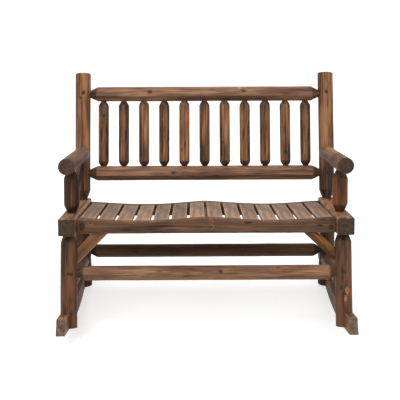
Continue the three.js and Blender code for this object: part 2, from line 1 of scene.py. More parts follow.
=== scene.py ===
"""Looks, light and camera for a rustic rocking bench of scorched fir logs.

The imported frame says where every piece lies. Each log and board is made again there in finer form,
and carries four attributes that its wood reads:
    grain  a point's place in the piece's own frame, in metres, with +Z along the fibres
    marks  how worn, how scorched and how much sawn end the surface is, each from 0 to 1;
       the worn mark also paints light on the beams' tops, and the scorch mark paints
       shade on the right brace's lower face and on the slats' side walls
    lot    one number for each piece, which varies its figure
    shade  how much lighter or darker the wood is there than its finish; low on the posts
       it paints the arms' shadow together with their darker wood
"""

import logging
import math
from dataclasses import dataclass, field, fields, replace
from enum import Enum
from typing import Any, Sequence

import bpy
import numpy as np
from mathutils import Matrix, Vector, noise
from mathutils.kdtree import KDTree

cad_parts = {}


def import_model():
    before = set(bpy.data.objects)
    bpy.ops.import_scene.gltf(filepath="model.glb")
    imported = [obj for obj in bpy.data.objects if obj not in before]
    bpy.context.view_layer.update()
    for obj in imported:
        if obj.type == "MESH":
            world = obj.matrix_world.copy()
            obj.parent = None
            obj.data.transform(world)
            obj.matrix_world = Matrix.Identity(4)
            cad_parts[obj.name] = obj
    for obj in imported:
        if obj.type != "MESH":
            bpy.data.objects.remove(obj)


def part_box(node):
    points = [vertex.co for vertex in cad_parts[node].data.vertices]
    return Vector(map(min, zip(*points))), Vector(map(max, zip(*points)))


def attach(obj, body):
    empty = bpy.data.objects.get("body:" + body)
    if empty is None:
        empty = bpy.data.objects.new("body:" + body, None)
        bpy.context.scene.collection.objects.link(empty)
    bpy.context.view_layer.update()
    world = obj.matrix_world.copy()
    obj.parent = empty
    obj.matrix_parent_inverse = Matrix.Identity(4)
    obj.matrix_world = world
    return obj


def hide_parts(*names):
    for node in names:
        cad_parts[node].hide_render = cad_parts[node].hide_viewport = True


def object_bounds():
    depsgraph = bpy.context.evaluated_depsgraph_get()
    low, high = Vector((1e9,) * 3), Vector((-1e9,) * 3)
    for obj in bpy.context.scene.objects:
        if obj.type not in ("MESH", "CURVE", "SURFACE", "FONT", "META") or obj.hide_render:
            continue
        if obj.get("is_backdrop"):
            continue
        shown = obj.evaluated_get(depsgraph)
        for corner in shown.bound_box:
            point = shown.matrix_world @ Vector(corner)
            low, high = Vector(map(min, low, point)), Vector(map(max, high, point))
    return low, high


LOG = logging.getLogger("rocking_bench")
BODY = "root"
Mesh, Piece, Tree = bpy.types.Mesh, bpy.types.Object, bpy.types.NodeTree
Point = tuple[float, float, float]
Colour = Point  # in linear light
Wire = Any  # a plain value or a node's output
Socket = tuple[str, str, Any]  # a node group's input: its name, type and default
Shades = Sequence[tuple[float, float]]  # places along the fibres, in metres, and the shade there
UNSHADED: Shades = ((0.0, 0.0),)
WHITE: Colour = (1.0, 1.0, 1.0)
LOTS = 10.0  # the pieces' own numbers run from 0 to this
LOT_STEP = 0.61803  # from one piece's number to the next, as a share of it; spreads them evenly
AMBER_KNOT, GREY_STAIN = (204, 136, 80), (84, 76, 72)  # as a screen shows them


def linear(red: int, green: int, blue: int) -> Colour:
    """Turns a colour as a screen shows it, 0 to 255, into linear light.

    Args:
        red, green, blue: the screen values.
    Returns:
        The three linear values.
    """
    def one(value: float) -> float:
        return value / 12.92 if value <= 0.04045 else ((value + 0.055) / 1.055) ** 2.4
    return one(red / 255), one(green / 255), one(blue / 255)


# Frames and places


@dataclass(frozen=True)
class Stance:
    """Angles of the bench at rest, in degrees."""

    deck_tilt: float = 9.75
    recline: float = 9.4
    front_rake: float = 9.8
    back_rake: float = 8.3
    seat_fall: float = 1.05


STANCE = Stance()


def leaning(degrees: float) -> Matrix:
    """A turn whose columns are X to the right, Y backwards and Z up, leaning back by some degrees."""
    c, s = math.cos(math.radians(degrees)), math.sin(math.radians(degrees))
    return Matrix(((1, 0, 0), (0, c, s), (0, -s, c)))


class Way(Enum):
    """A piece's own axes, in columns, in the leaning frame that carries it; fibres run along its Z."""

    UP = ((1, 0, 0), (0, 1, 0), (0, 0, 1))
    ACROSS = ((0, 0, 1), (0, 1, 0), (-1, 0, 0))  # X down, Y backwards, fibres to the right
    BACK = ((1, 0, 0), (0, 0, 1), (0, -1, 0))  # X to the right, Y down, fibres to the back


class Heading(Enum):
    """The ways that the pieces lie: how far their frame leans back, and their way in it."""

    POST = (STANCE.deck_tilt + STANCE.recline, Way.UP)
    ARM_POST = (STANCE.deck_tilt, Way.UP)
    FRONT_LEG = (STANCE.deck_tilt + STANCE.front_rake, Way.UP)
    BACK_LEG = (STANCE.deck_tilt - STANCE.back_rake, Way.UP)
    BACK_RAIL = (STANCE.deck_tilt + STANCE.recline, Way.ACROSS)
    APRON = (STANCE.deck_tilt, Way.ACROSS)
    FRONT_RUNG = (STANCE.deck_tilt + STANCE.front_rake, Way.ACROSS)
    BACK_RUNG = (STANCE.deck_tilt - STANCE.back_rake, Way.ACROSS)
    BEAM = (STANCE.deck_tilt, Way.BACK)
    JOIST = (STANCE.deck_tilt + STANCE.seat_fall, Way.BACK)

    def turn(self) -> Matrix:
        """The turn from the piece's own frame into the row's."""
        lean, way = self.value
        return leaning(lean) @ Matrix(way.value)


@dataclass(frozen=True)
class Place:
    """Where a piece lies: a matrix from its own frame, and its sizes along that frame's axes."""

    matrix: Matrix
    size: Vector

    @classmethod
    def of(cls, node: str, heading: Heading) -> "Place":
        """Reads a place off a CAD node: middle of its section, and the low end of its length.

        Args:
            node: the CAD node's name.
            heading: the way the piece lies.
        Returns:
            The place, with the fibres' low end at zero.
        """
        turn = heading.turn()
        points = node_points(node) @ np.array(turn)
        low, high = points.min(0), points.max(0)
        origin = Vector(((low[0] + high[0]) / 2, (low[1] + high[1]) / 2, low[2]))
        return cls(Matrix.Translation(turn @ origin) @ turn.to_4x4(), Vector(high - low))

    def aim(self, direction: Point) -> Vector:
        """Turns a direction of the piece's own frame into the row's."""
        return self.matrix.to_3x3() @ Vector(direction)


def node_points(node: str) -> np.ndarray:
    """All points of a CAD node, in metres, as rows."""
    return points_of(bpy.data.objects[node].data).astype(float)


def node_box(node: str, frame: Matrix) -> tuple[Vector, Vector]:
    """The low and high corners of a CAD node's box in a frame."""
    local = (node_points(node) - np.array(frame.translation)) @ np.array(frame.to_3x3())
    return Vector(local.min(0)), Vector(local.max(0))


def deck_frame() -> Matrix:
    """The deck's frame: X to the right, Y back along the beams, Z up from their tops."""
    turn = leaning(STANCE.deck_tilt).to_4x4()
    low, high = node_box("seat_beam_left", turn)
    return turn @ Matrix.Translation((0.0, low.y, high.z))


def seat_frame(pivot: float) -> Matrix:
    """The seat's frame: the deck's, dropping backwards from a pivot along it."""
    fall = Matrix.Rotation(math.radians(-STANCE.seat_fall), 4, "X")
    return deck_frame() @ Matrix.Translation((0, pivot, 0)) @ fall @ Matrix.Translation((0, -pivot, 0))


# Meshes


def flow(place: Sequence[float], seed: float) -> float:
    """Smooth noise from -1 to 1 at a place, different for each seed."""
    return noise.noise(Vector(place) + Vector((seed * 7.13, seed * 3.71, seed * 5.37)))


def points_of(mesh: Mesh) -> np.ndarray:
    """All points of a mesh, as rows."""
    points = np.empty(len(mesh.vertices) * 3, np.float32)
    mesh.vertices.foreach_get("co", points)
    return points.reshape(-1, 3)


def store(mesh: Mesh, name: str, values: np.ndarray) -> None:
    """Stores one value, or three, for each point of a mesh as an attribute."""
    if name in mesh.attributes:
        mesh.attributes.remove(mesh.attributes[name])
    kind, key = ("FLOAT", "value") if values.ndim == 1 else ("FLOAT_VECTOR", "vector")
    mesh.attributes.new(name, kind, "POINT").data.foreach_set(key, values.astype(np.float32).ravel())


@dataclass
class Shape:
    """Closed rings of points along a piece, with their marks, in the piece's own frame."""

    rings: list[list[Point]] = field(default_factory=list)
    marks: list[list[Point]] = field(default_factory=list)

    def mesh(self, name: str) -> Mesh:
        """Skins the rings and closes both ends.

        Args:
            name: the mesh's name.
        Returns:
            A closed mesh with its marks stored.
        """
        count, around = len(self.rings), len(self.rings[0])
        top = (count - 1) * around
        ends = (slice(0, around), slice(top, top + around))
        points, marks = np.array(self.rings).reshape(-1, 3), np.array(self.marks).reshape(-1, 3)
        points = np.vstack([points] + [points[end].mean(0) for end in ends])
        marks = np.vstack([marks] + [marks[end].mean(0) for end in ends])
        faces = []
        for i in range(count - 1):
            for j in range(around):
                a, b = i * around + j, i * around + (j + 1) % around
                faces.append((a, b, b + around, a + around))
        for j in range(around):
            k = (j + 1) % around
            faces.append((count * around, k, j))
            faces.append((count * around + 1, top + j, top + k))
        mesh = bpy.data.meshes.new(name)
        mesh.from_pydata(points.tolist(), [], faces)
        store(mesh, "marks", marks)
        return mesh


def stamp(mesh: Mesh, inverse: Matrix, pith: Vector, lot: float, shades: Shades = UNSHADED) -> None:
    """Stores a piece's grain, lot and shade on its mesh.

    Args:
        mesh: the finished mesh.
        inverse: the matrix from the mesh's frame into the piece's own.
        pith: the place of the tree's heart in the piece's section, added to the grain.
        lot: the piece's own number.
        shades: the shade along the piece.
    """
    turn = np.array(inverse.to_3x3()).T
    local = points_of(mesh) @ turn + np.array(inverse.translation) + np.array(pith)
    store(mesh, "grain", local)
    store(mesh, "lot", np.full(len(local), lot))
    store(mesh, "shade", np.interp(local[:, 2], *zip(*shades)))


def shade_row(mesh: Mesh, shades: Sequence[float]) -> None:
    """Shades a row of equal pieces along X, each in its own shade."""
    across = points_of(mesh)[:, 0]
    low, high = across.min(), across.max() + 1e-6
    which = ((across - low) / (high - low) * len(shades)).astype(int)
    store(mesh, "shade", np.array(shades)[which])


def smooth(mesh: Mesh, degrees: float = 24.0) -> None:
    """Shades a mesh smooth, apart from its sharp edges."""
    mesh.polygons.foreach_set("use_smooth", [True] * len(mesh.polygons))
    mesh.set_sharp_from_angle(angle=math.radians(degrees))


def add_object(name: str, data: bpy.types.ID) -> Piece:
    """Puts a mesh, lamp or camera into the scene under a name."""
    obj = bpy.data.objects.new(name, data)
    bpy.context.scene.collection.objects.link(obj)
    return obj


def settle(obj: Piece) -> None:
    """Turns an object's modifiers into a plain mesh."""
    bpy.context.view_layer.update()
    depsgraph = bpy.context.evaluated_depsgraph_get()
    mesh = bpy.data.meshes.new_from_object(obj.evaluated_get(depsgraph))
    obj.modifiers.clear()
    obj.data = mesh


def carve(obj: Piece, tools: Sequence[Piece]) -> None:
    """Cuts tools out of an object and removes them; its marks, which the cut clears, come back.

    Args:
        obj: the object, its mesh in the row frame.
        tools: closed objects, also in the row frame.
    """
    if not tools:
        return
    marks = np.empty(len(obj.data.vertices) * 3, np.float32)
    obj.data.attributes["marks"].data.foreach_get("vector", marks)
    skin = KDTree(len(obj.data.vertices))
    for vertex in obj.data.vertices:
        skin.insert(vertex.co, vertex.index)
    skin.balance()
    for tool in tools:
        cutter = obj.modifiers.new(tool.name, "BOOLEAN")
        cutter.operation, cutter.solver, cutter.object = "DIFFERENCE", "EXACT", tool
    settle(obj)
    nearest = [skin.find(vertex.co)[1] for vertex in obj.data.vertices]
    store(obj.data, "marks", marks.reshape(-1, 3)[nearest])
    for tool in tools:
        bpy.data.objects.remove(tool)


def block(name: str, corners: Sequence[Point], matrix: Matrix) -> Piece:
    """A box between two opposite corners of a frame, as a cutting tool."""
    xs, ys, zs = (sorted(pair) for pair in zip(*corners))
    points = [matrix @ Vector((x, y, z)) for x in xs for y in ys for z in zs]
    faces = [(0, 1, 3, 2), (4, 6, 7, 5), (0, 4, 5, 1), (2, 3, 7, 6), (0, 2, 6, 4), (1, 5, 7, 3)]
    mesh = bpy.data.meshes.new(name)
    mesh.from_pydata(points, [], faces)
    return add_object(name, mesh)


def turned(profile: Sequence[tuple[float, float]], around: int) -> Shape:
    """A small turned shape about +Z, from its radius and height pairs, bottom to top."""
    angles = [2 * math.pi * k / around for k in range(around)]
    rings = [[(radius * math.cos(a), radius * math.sin(a), z) for a in angles] for radius, z in profile]
    return Shape(rings, [[(0.0, 0.0, 0.0)] * around for _ in profile])


def drill(name: str, mouth: Vector, inward: Vector, radius: float, depth: float) -> Piece:
    """A round drill, as a cutting tool.

    Args:
        name: the tool's name.
        mouth: the middle of the hole's mouth.
        inward: the way the hole runs.
        radius, depth: the hole's sizes, in metres.
    Returns:
        The closed tool.
    """
    mesh = turned(((radius, -depth), (radius, depth)), around=20).mesh(name)
    mesh.transform(Matrix.Translation(mouth) @ inward.to_track_quat("Z", "Y").to_matrix().to_4x4())
    return add_object(name, mesh)


@dataclass(frozen=True)
class ScrewHole:
    """A round hole that a screw's head sits in."""

    radius: float = 0.0048
    depth: float = 0.004

    def cut(self, name: str, mouth: Vector, inward: Vector) -> tuple[Piece, Vector]:
        """The hole's drill, and the middle of its floor."""
        return drill(name, mouth, inward, self.radius, self.depth), mouth + inward * self.depth

    def cut_log(self, node: str, heading: Heading, radius: float, other: Place) -> tuple[Piece, Vector]:
        """A hole in a log's front, level with a piece that crosses the log.

        Args:
            node: the log's CAD node.
            heading: the way it lies.
            radius: its radius.
            other: where the crossing piece lies.
        Returns:
            The drill, and the middle of the hole's floor.
        """
        place = Place.of(node, heading)
        level = (place.matrix.inverted() @ other.matrix.translation).z
        return self.cut(f"{node}_hole", place.matrix @ Vector((0, -radius, level)), place.aim((0, 1, 0)))


# Logs


@dataclass(frozen=True)
class LogEnd:
    """One end of a log: drawn down to a tenon, or sawn square when the taper is zero."""

    tip: float = 0.0
    taper: float = 0.0
    tenon: float = 0.0
    scorch: float = 0.6
    swell: float = 1.4  # how much the taper bulges; 1 is a plain cone
    ease: float = 0.0035

    def stations(self, radius: float) -> list[tuple[float, float, float, float, float]]:
        """Rings from the end inwards: height, radius, scorch, sawn and tool marks."""
        if not self.taper:
            rows = [(0.0, radius - self.ease, 0.25 * self.scorch, 1.0, 0.0)]
            for k in range(1, 5):
                angle = math.pi / 8 * k
                rows.append((
                    self.ease * (1 - math.cos(angle)), radius - self.ease * (1 - math.sin(angle)),
                    self.scorch * k / 4, 1 - k / 4, 0.0,
                ))
            return rows + [(0.02, radius, 0.3 * self.scorch, 0.0, 0.0), (0.05, radius, 0.0, 0.0, 0.0)]
        rows = [(0.0, self.tip, self.scorch, 1.0, 0.0), (self.tenon, self.tip, self.scorch, 0.0, 0.0)]
        steps = 9
        for k in range(1, steps + 1):
            t = k / steps
            rise = 1 - (1 - t) ** self.swell
            marks = min(1.0, 1.6 * math.sin(math.pi * min(1.0, t + 0.12)))
            rows.append((
                self.tenon + self.taper * t, self.tip + (radius - self.tip) * rise,
                self.scorch * (1 - t ** 6), 0.0, max(0.0, marks),
            ))
        return rows


@dataclass(frozen=True)
class Log:
    """A peeled log: round, a little uneven and bowed, with flats where it was shaved."""

    radius: float
    low: LogEnd
    high: LogEnd
    flats: tuple[tuple[float, float], ...] = ()  # direction in degrees, share of the radius
    around: int = 48
    spacing: float = 0.009
    uneven: float = 0.0007
    bow: float = 0.0008
    bow_way: float | None = None  # the bow's direction in degrees; none leaves it to the seed
    knife_cuts: int = 8

    @classmethod
    def even(cls, radius: float, end: LogEnd, **form: Any) -> "Log":
        """A log with two equal ends."""
        return cls(radius, end, end, **form)

    def stations(self, length: float) -> list[tuple[float, float, float, float, float]]:
        """Rings along the whole log, both ends and the body between them."""
        low = self.low.stations(self.radius)
        high = [(length - z, *rest) for z, *rest in reversed(self.high.stations(self.radius))]
        start, stop = low[-1][0], high[0][0]
        steps = max(2, math.ceil((stop - start) / self.spacing))
        body = [
            (start + (stop - start) * k / steps, self.radius, 0.0, 0.0, 0.0) for k in range(1, steps)
        ]
        return low + body + high

    def flat(self, angle: float) -> float:
        """Share of the radius that the shaved flats leave in a direction."""
        share = 1.0
        for direction, depth in self.flats:
            facing = math.cos(angle - math.radians(direction))
            if facing > 0.3:
                share = min(share, depth / facing)
        return share

    def knife(self, angle: float, seed: float) -> float:
        """Share of the radius that the knife leaves on a taper in a direction."""
        step = 2 * math.pi / self.knife_cuts
        phase = math.floor(seed * 31) % 6 * 2 * math.pi / self.around
        return math.cos(step / 2) / math.cos((angle + phase) % step - step / 2)

    def shape(self, length: float, seed: float) -> Shape:
        """The log's skin.

        Args:
            length: from end to end, tenons and all.
            seed: the log's own number.
        Returns:
            Its rings.
        """
        shape = Shape()
        for z, radius, scorch, sawn, cuts in self.stations(length):
            ring, marks = [], []
            share = z / length
            bend = self.bow * math.sin(math.pi * share)
            side = seed * 2.4 if self.bow_way is None else math.radians(self.bow_way)
            for k in range(self.around):
                angle = 2 * math.pi * k / self.around
                c, s = math.cos(angle), math.sin(angle)
                rough = self.uneven * flow((c * 1.2, s * 1.2, z * 8), seed)
                rough += 0.3 * self.uneven * flow((c * 4, s * 4, z * 30), seed + 5)
                body = (radius + rough) * (1 + (self.flat(angle) - 1) * (radius / self.radius) ** 3)
                body *= 1 - cuts * (1 - self.knife(angle, seed))
                lift = z
                if cuts:
                    lift += 0.004 * cuts * flow((c * 2.2, s * 2.2, round(share)), seed + 9)
                ring.append((body * c + bend * math.cos(side), body * s + bend * math.sin(side), lift))
                marks.append((0.0, scorch, sawn))
            shape.rings.append(ring)
            shape.marks.append(marks)
        return shape


# Boards


@dataclass(frozen=True)
class Board:
    """A sawn board with softened, slightly wavering edges."""

    ease: float = 0.002
    spacing: float = 0.012
    waver: float = 0.0005
    # how strongly the worn marks show, the painted light of a lit face among them
    wear: float = 1.0
    rounded: tuple[int, float] = (0, 0.0)  # one corner with an ease of its own, 0 to 3
    bare: tuple[int, float] = (0, 0.0)  # one face made lighter all over, and how much: painted light on a beam's top, with its wear; faces follow corners

    def outline(self, width: float, depth: float) -> list[tuple[float, float, float, float]]:
        """The section's points, corner by corner: place, facing and worn mark, which on the lit face is
        painted light with wear.
        """
        points: list[tuple[float, float, float, float]] = []
        for quarter in range(4):
            start = math.pi / 2 * quarter
            c, s = round(math.cos(start)), round(math.sin(start))
            across, up = (width / 2, depth / 2) if quarter % 2 == 0 else (depth / 2, width / 2)
            e = self.rounded[1] if self.rounded[1] and self.rounded[0] == quarter else self.ease
            margin = 1.8 * e
            row = [(across, up - e - margin, 0.0, 0.0)]
            for k in range(5):
                a = math.pi / 8 * k
                row.append((across - e + e * math.cos(a), up - e + e * math.sin(a), a, 1.0))
            inner = across - e - margin
            # the lit face gets painted light together with wear, all over
            worn = self.bare[1] if self.bare[0] == quarter else 0.0
            row += [(inner * (1 - 2 * k / 6), up, math.pi / 2, worn) for k in range(6)]
            points += [(c * x - s * y, s * x + c * y, facing + start, worn) for x, y, facing, worn in row]
        return points

    def shape(self, width: float, depth: float, length: float, seed: float) -> Shape:
        """The board's skin.

        Args:
            width, depth, length: its sizes along its own X, Y and Z.
            seed: the board's own number.
        Returns:
            Its rings.
        """
        e, shape = self.ease, Shape()
        ends = [(0.0, e, 1.0), (0.3 * e, 0.45 * e, 0.6), (e, 0.0, 0.0)]
        count = max(2, math.ceil((length - 2 * e) / self.spacing))
        body = [(e + (length - 2 * e) * k / count, 0.0, 0.0) for k in range(1, count)]
        rows = ends + body + [(length - z, inset, sawn) for z, inset, sawn in reversed(ends)]
        outline = self.outline(width, depth)
        for z, inset, sawn in rows:
            ring, marks = [], []
            scale_x, scale_y = 1 - 2 * inset / width, 1 - 2 * inset / depth
            for x, y, facing, worn in outline:
                push = self.waver * flow((x * 20, y * 20, z * 7), seed)
                push -= 0.5 * self.waver * worn * (1 + flow((x * 90, y * 90, z * 45), seed + 3))
                ring.append((x * scale_x + push * math.cos(facing), y * scale_y + push * math.sin(facing), z))
                rim = 1.0 if 0 < z < 1.5 * e or 0 < length - z < 1.5 * e else 0.0
                marks.append((self.wear * max(worn, rim), 0.0, sawn))
            shape.rings.append(ring)
            shape.marks.append(marks)
        return shape


# Node trees


class Graph:
    """Adds nodes to a tree and wires them from plain values or other nodes' outputs."""

    def __init__(self, tree: Tree) -> None:
        """Takes the tree that it fills."""
        self.tree = tree

    def put(self, sockets: Any, values: dict[Any, Wire]) -> None:
        """Wires or sets sockets.

        Args:
            sockets: a node's inputs.
            values: values or wires, by socket name or number.
        """
        for key, value in values.items():
            socket = sockets[key]
            if isinstance(value, bpy.types.NodeSocket):
                self.tree.links.new(value, socket)
            elif isinstance(value, tuple) and socket.type == "RGBA" and len(value) == 3:
                socket.default_value = (*value, 1.0)
            else:
                socket.default_value = value

    def node(self, kind: str, inputs: dict[Any, Wire] | None = None, **settings: Any) -> bpy.types.Node:
        """Adds a node.

        Args:
            kind: the node's type name.
            inputs: values or wires, by socket name or number.
            settings: the node's own properties.
        Returns:
            The node.
        """
        made = self.tree.nodes.new(kind)
        for key, value in settings.items():
            setattr(made, key, value)
        self.put(made.inputs, inputs or {})
        return made

    def math(self, operation: str, a: Wire, b: Wire = 0.0, clamp: bool = False) -> Wire:
        """One sum of two values."""
        return self.node("ShaderNodeMath", {0: a, 1: b}, operation=operation, use_clamp=clamp).outputs[0]

    def plus(self, a: Wire, b: Wire) -> Wire:
        """The sum of two values."""
        return self.math("ADD", a, b)

    def minus(self, a: Wire, b: Wire) -> Wire:
        """One value less another."""
        return self.math("SUBTRACT", a, b)

    def times(self, a: Wire, b: Wire) -> Wire:
        """The product of two values."""
        return self.math("MULTIPLY", a, b)

    def sway(self, a: Wire, b: Wire) -> Wire:
        """How far a value from 0 to 1 is from its middle, times another."""
        return self.times(self.minus(a, 0.5), b)

    def vector(self, operation: str, a: Wire, b: Wire = (0.0, 0.0, 0.0)) -> Wire:
        """One sum of two vectors."""
        return self.node("ShaderNodeVectorMath", {0: a, 1: b}, operation=operation).outputs[0]

    def length(self, a: Wire) -> Wire:
        """A vector's length."""
        return self.node("ShaderNodeVectorMath", {0: a}, operation="LENGTH").outputs["Value"]

    def combine(self, x: Wire = 0.0, y: Wire = 0.0, z: Wire = 0.0) -> Wire:
        """A vector of three values."""
        return self.node("ShaderNodeCombineXYZ", {0: x, 1: y, 2: z}).outputs[0]

    def position(self) -> Any:
        """A point's X, Y and Z, in a geometry tree."""
        place = self.node("GeometryNodeInputPosition").outputs[0]
        return self.node("ShaderNodeSeparateXYZ", {0: place}).outputs

    def dressed(self, geometry: Wire, material: Wire) -> Wire:
        """Real geometry in a material, which ends each geometry tree."""
        solid = self.node("GeometryNodeRealizeInstances", {0: geometry}).outputs[0]
        return self.node("GeometryNodeSetMaterial", {"Geometry": solid, "Material": material}).outputs[0]

    def ramp(self, value: Wire, start: float, stop: float, low: Wire = 0.0, high: Wire = 1.0) -> Wire:
        """A smooth rise from low to high as a value goes from start to stop."""
        values = {0: value, 1: start, 2: stop, 3: low, 4: high}
        return self.node("ShaderNodeMapRange", values, interpolation_type="SMOOTHSTEP").outputs[0]

    def mix(self, share: Wire, a: Wire, b: Wire) -> Wire:
        """A mix of two colours."""
        return self.node("ShaderNodeMix", {0: share, 6: a, 7: b}, data_type="RGBA").outputs[2]

    def cloud(self, place: Wire, stretch: Point, lot: Wire, detail: float = 3.0,
              rough: float = 0.55) -> Wire:
        """Noise from 0 to 1 on stretched coordinates, different in each lot."""
        scaled = self.vector("MULTIPLY", place, stretch)
        values = {"Vector": scaled, "W": lot, "Scale": 1.0, "Detail": detail, "Roughness": rough}
        return self.node("ShaderNodeTexNoise", values, noise_dimensions="4D").outputs[0]

    def to_eye(self) -> Wire:
        """One on a ray that the camera or a reflection sees, and zero on light's own ways."""
        path = self.node("ShaderNodeLightPath").outputs
        return self.math("MAXIMUM", path["Is Camera Ray"], path["Is Glossy Ray"])


def cleared(owner: Any) -> Graph:
    """The emptied node tree of a material or world."""
    owner.use_nodes = True
    owner.node_tree.nodes.clear()
    return Graph(owner.node_tree)


def node_group(kind: str, name: str, inputs: Sequence[Socket],
               outputs: Sequence[tuple[str, str]]) -> tuple[Graph, Any, Any]:
    """Starts a node group with named sockets.

    Args:
        kind: the tree's type name.
        name: the group's name.
        inputs: name, socket type and default of each input.
        outputs: name and socket type of each output.
    Returns:
        The graph, the outputs of its input node, and the inputs of its output node.
    """
    tree = bpy.data.node_groups.new(name, kind)
    for label, socket, default in inputs:
        made = tree.interface.new_socket(name=label, in_out="INPUT", socket_type=f"NodeSocket{socket}")
        if default is not None:
            made.default_value = (*default, 1.0) if socket == "Color" else default
    for label, socket in outputs:
        tree.interface.new_socket(name=label, in_out="OUTPUT", socket_type=f"NodeSocket{socket}")
    source, sink = tree.nodes.new("NodeGroupInput"), tree.nodes.new("NodeGroupOutput")
    return Graph(tree), source.outputs, sink.inputs


def run_tree(obj: Piece, tree: Tree, values: dict[str, Any]) -> Piece:
    """Runs a geometry node tree on an object once and keeps the result as its plain mesh.

    Args:
        obj: the object.
        tree: the tree.
        values: the tree's inputs, by name; the others keep their defaults.
    Returns:
        The object.
    """
    maker = obj.modifiers.new(tree.name, "NODES")
    maker.node_group = tree
    for item in tree.interface.items_tree:
        if getattr(item, "in_out", "") == "INPUT" and item.name in values:
            maker[item.identifier] = values[item.name]
    settle(obj)
    return obj


class SampleRow:
    """A geometry node tree that sets copies of a sample, and the piece that comes of it."""

    varied: tuple[Socket, ...] = (("Count", "Int", 2), ("Seed", "Int", 0), ("Unevenness", "Float", 0.001))

    def __init__(self, name: str, inputs: Sequence[Socket]) -> None:
        """Starts the tree.

        Args:
            name: the piece's name.
            inputs: the tree's inputs, apart from the sample and its material.
        """
        self.name = name
        shared = [("Sample", "Object", None), ("Material", "Material", None)]
        self.g, self.wires, self.out = node_group("GeometryNodeTree", f"{name}_set", [*inputs, *shared],
                                                  [("Geometry", "Geometry")])

    def chance(self, high: float) -> Wire:
        """A random number from 0 to high for each copy."""
        values = {2: 0.0, 3: high, 8: self.wires["Seed"]}
        return self.g.node("FunctionNodeRandomValue", values, data_type="FLOAT").outputs[1]

    def copies(self, points: Wire, turn: Wire, **more: Wire) -> Wire:
        """One copy of the sample on each point."""
        one = self.g.node("GeometryNodeObjectInfo", {"Object": self.wires["Sample"]}).outputs["Geometry"]
        values = {"Points": points, "Instance": one, "Rotation": turn} | more
        return self.g.node("GeometryNodeInstanceOnPoints", values).outputs[0]

    def vary(self, copies: Wire, fineness: float) -> Wire:
        """Gives each copy its own lot, joins the copies and makes them a little uneven."""
        g = self.g
        told = g.node("GeometryNodeStoreNamedAttribute", {
            "Geometry": copies, "Name": "lot", "Value": self.chance(LOTS),
        }, data_type="FLOAT", domain="INSTANCE").outputs[0]
        solid = g.node("GeometryNodeRealizeInstances", {0: told}).outputs[0]
        where = g.node("GeometryNodeInputPosition").outputs[0]
        rough = g.node("ShaderNodeTexNoise", {"Vector": where, "Scale": fineness, "Detail": 1.0}).outputs[1]
        centred = g.vector("SUBTRACT", rough, (0.5, 0.5, 0.5))
        push = g.node("ShaderNodeVectorMath", {0: centred, 3: self.wires["Unevenness"]}, operation="SCALE")
        moved = g.node("GeometryNodeSetPosition", {"Geometry": solid, "Offset": push.outputs[0]})
        return moved.outputs[0]

    def run(self, copies: Wire, sample: Mesh, values: dict[str, Any], points: Mesh | None = None) -> Piece:
        """Ends the tree with real geometry in its material, and runs it.

        Args:
            copies: the copies.
            sample: what is copied.
            values: the tree's inputs, by name.
            points: the mesh that the tree works on, where it does.
        Returns:
            The piece.
        """
        self.g.put(self.out, {"Geometry": self.g.dressed(copies, self.wires["Material"])})
        one = add_object(sample.name, sample)
        obj = add_object(self.name, points or bpy.data.meshes.new(self.name))
        run_tree(obj, self.g.tree, values | {"Sample": one})
        bpy.data.objects.remove(one)
        return obj


# Wood


def grain_group() -> Tree:
    """Fir grain: growth rings about the tree's heart, long streaks, broad bands and fine fibres."""
    g, wires, out = node_group("ShaderNodeTree", "fir_grain", [
        ("Grain", "Vector", None), ("Lot", "Float", 0.0), ("Ring Spacing", "Float", 0.0032),
        ("Streak Width", "Float", 0.016),
    ], [(name, "Float") for name in ("Rings", "Streaks", "Bands", "Fibres", "Lines")])
    grain, lot = wires["Grain"], g.times(wires["Lot"], 17.0)
    wander = g.times(g.cloud(grain, (14.0, 14.0, 3.0), lot, 2.0), 0.022)
    waved = g.plus(g.length(g.vector("MULTIPLY", grain, (1.0, 1.0, 0.0))), wander)
    phase = g.times(g.math("DIVIDE", waved, wires["Ring Spacing"]), 2 * math.pi)
    ring = g.plus(g.times(g.math("SINE", phase), 0.5), 0.5)
    width = g.math("DIVIDE", 1.0, wires["Streak Width"])
    lanes = g.vector("MULTIPLY", grain, g.combine(width, width, g.times(width, 0.035)))
    streaks = g.node("ShaderNodeTexNoise", {
        "Vector": lanes, "W": lot, "Scale": 1.0, "Detail": 4.0, "Roughness": 0.7, "Distortion": 0.25,
    }, noise_dimensions="4D").outputs[0]
    swing = g.cloud(grain, (95.0, 95.0, 3.2), g.plus(lot, 8.0), 1.0)
    broken = g.ramp(g.cloud(grain, (60.0, 60.0, 14.0), lot, 1.0), 0.36, 0.56)
    g.put(out, {
        "Rings": g.math("POWER", ring, 2.2), "Streaks": g.ramp(streaks, 0.32, 0.68),
        "Bands": g.ramp(g.cloud(grain, (22.0, 22.0, 3.5), g.plus(lot, 4.0), 2.0), 0.3, 0.7),
        "Fibres": g.cloud(grain, (620.0, 620.0, 22.0), lot, 2.0, 0.6),
        "Lines": g.times(g.ramp(g.math("ABSOLUTE", g.minus(swing, 0.5)), 0.03, 0.006), broken),
    })
    return g.tree


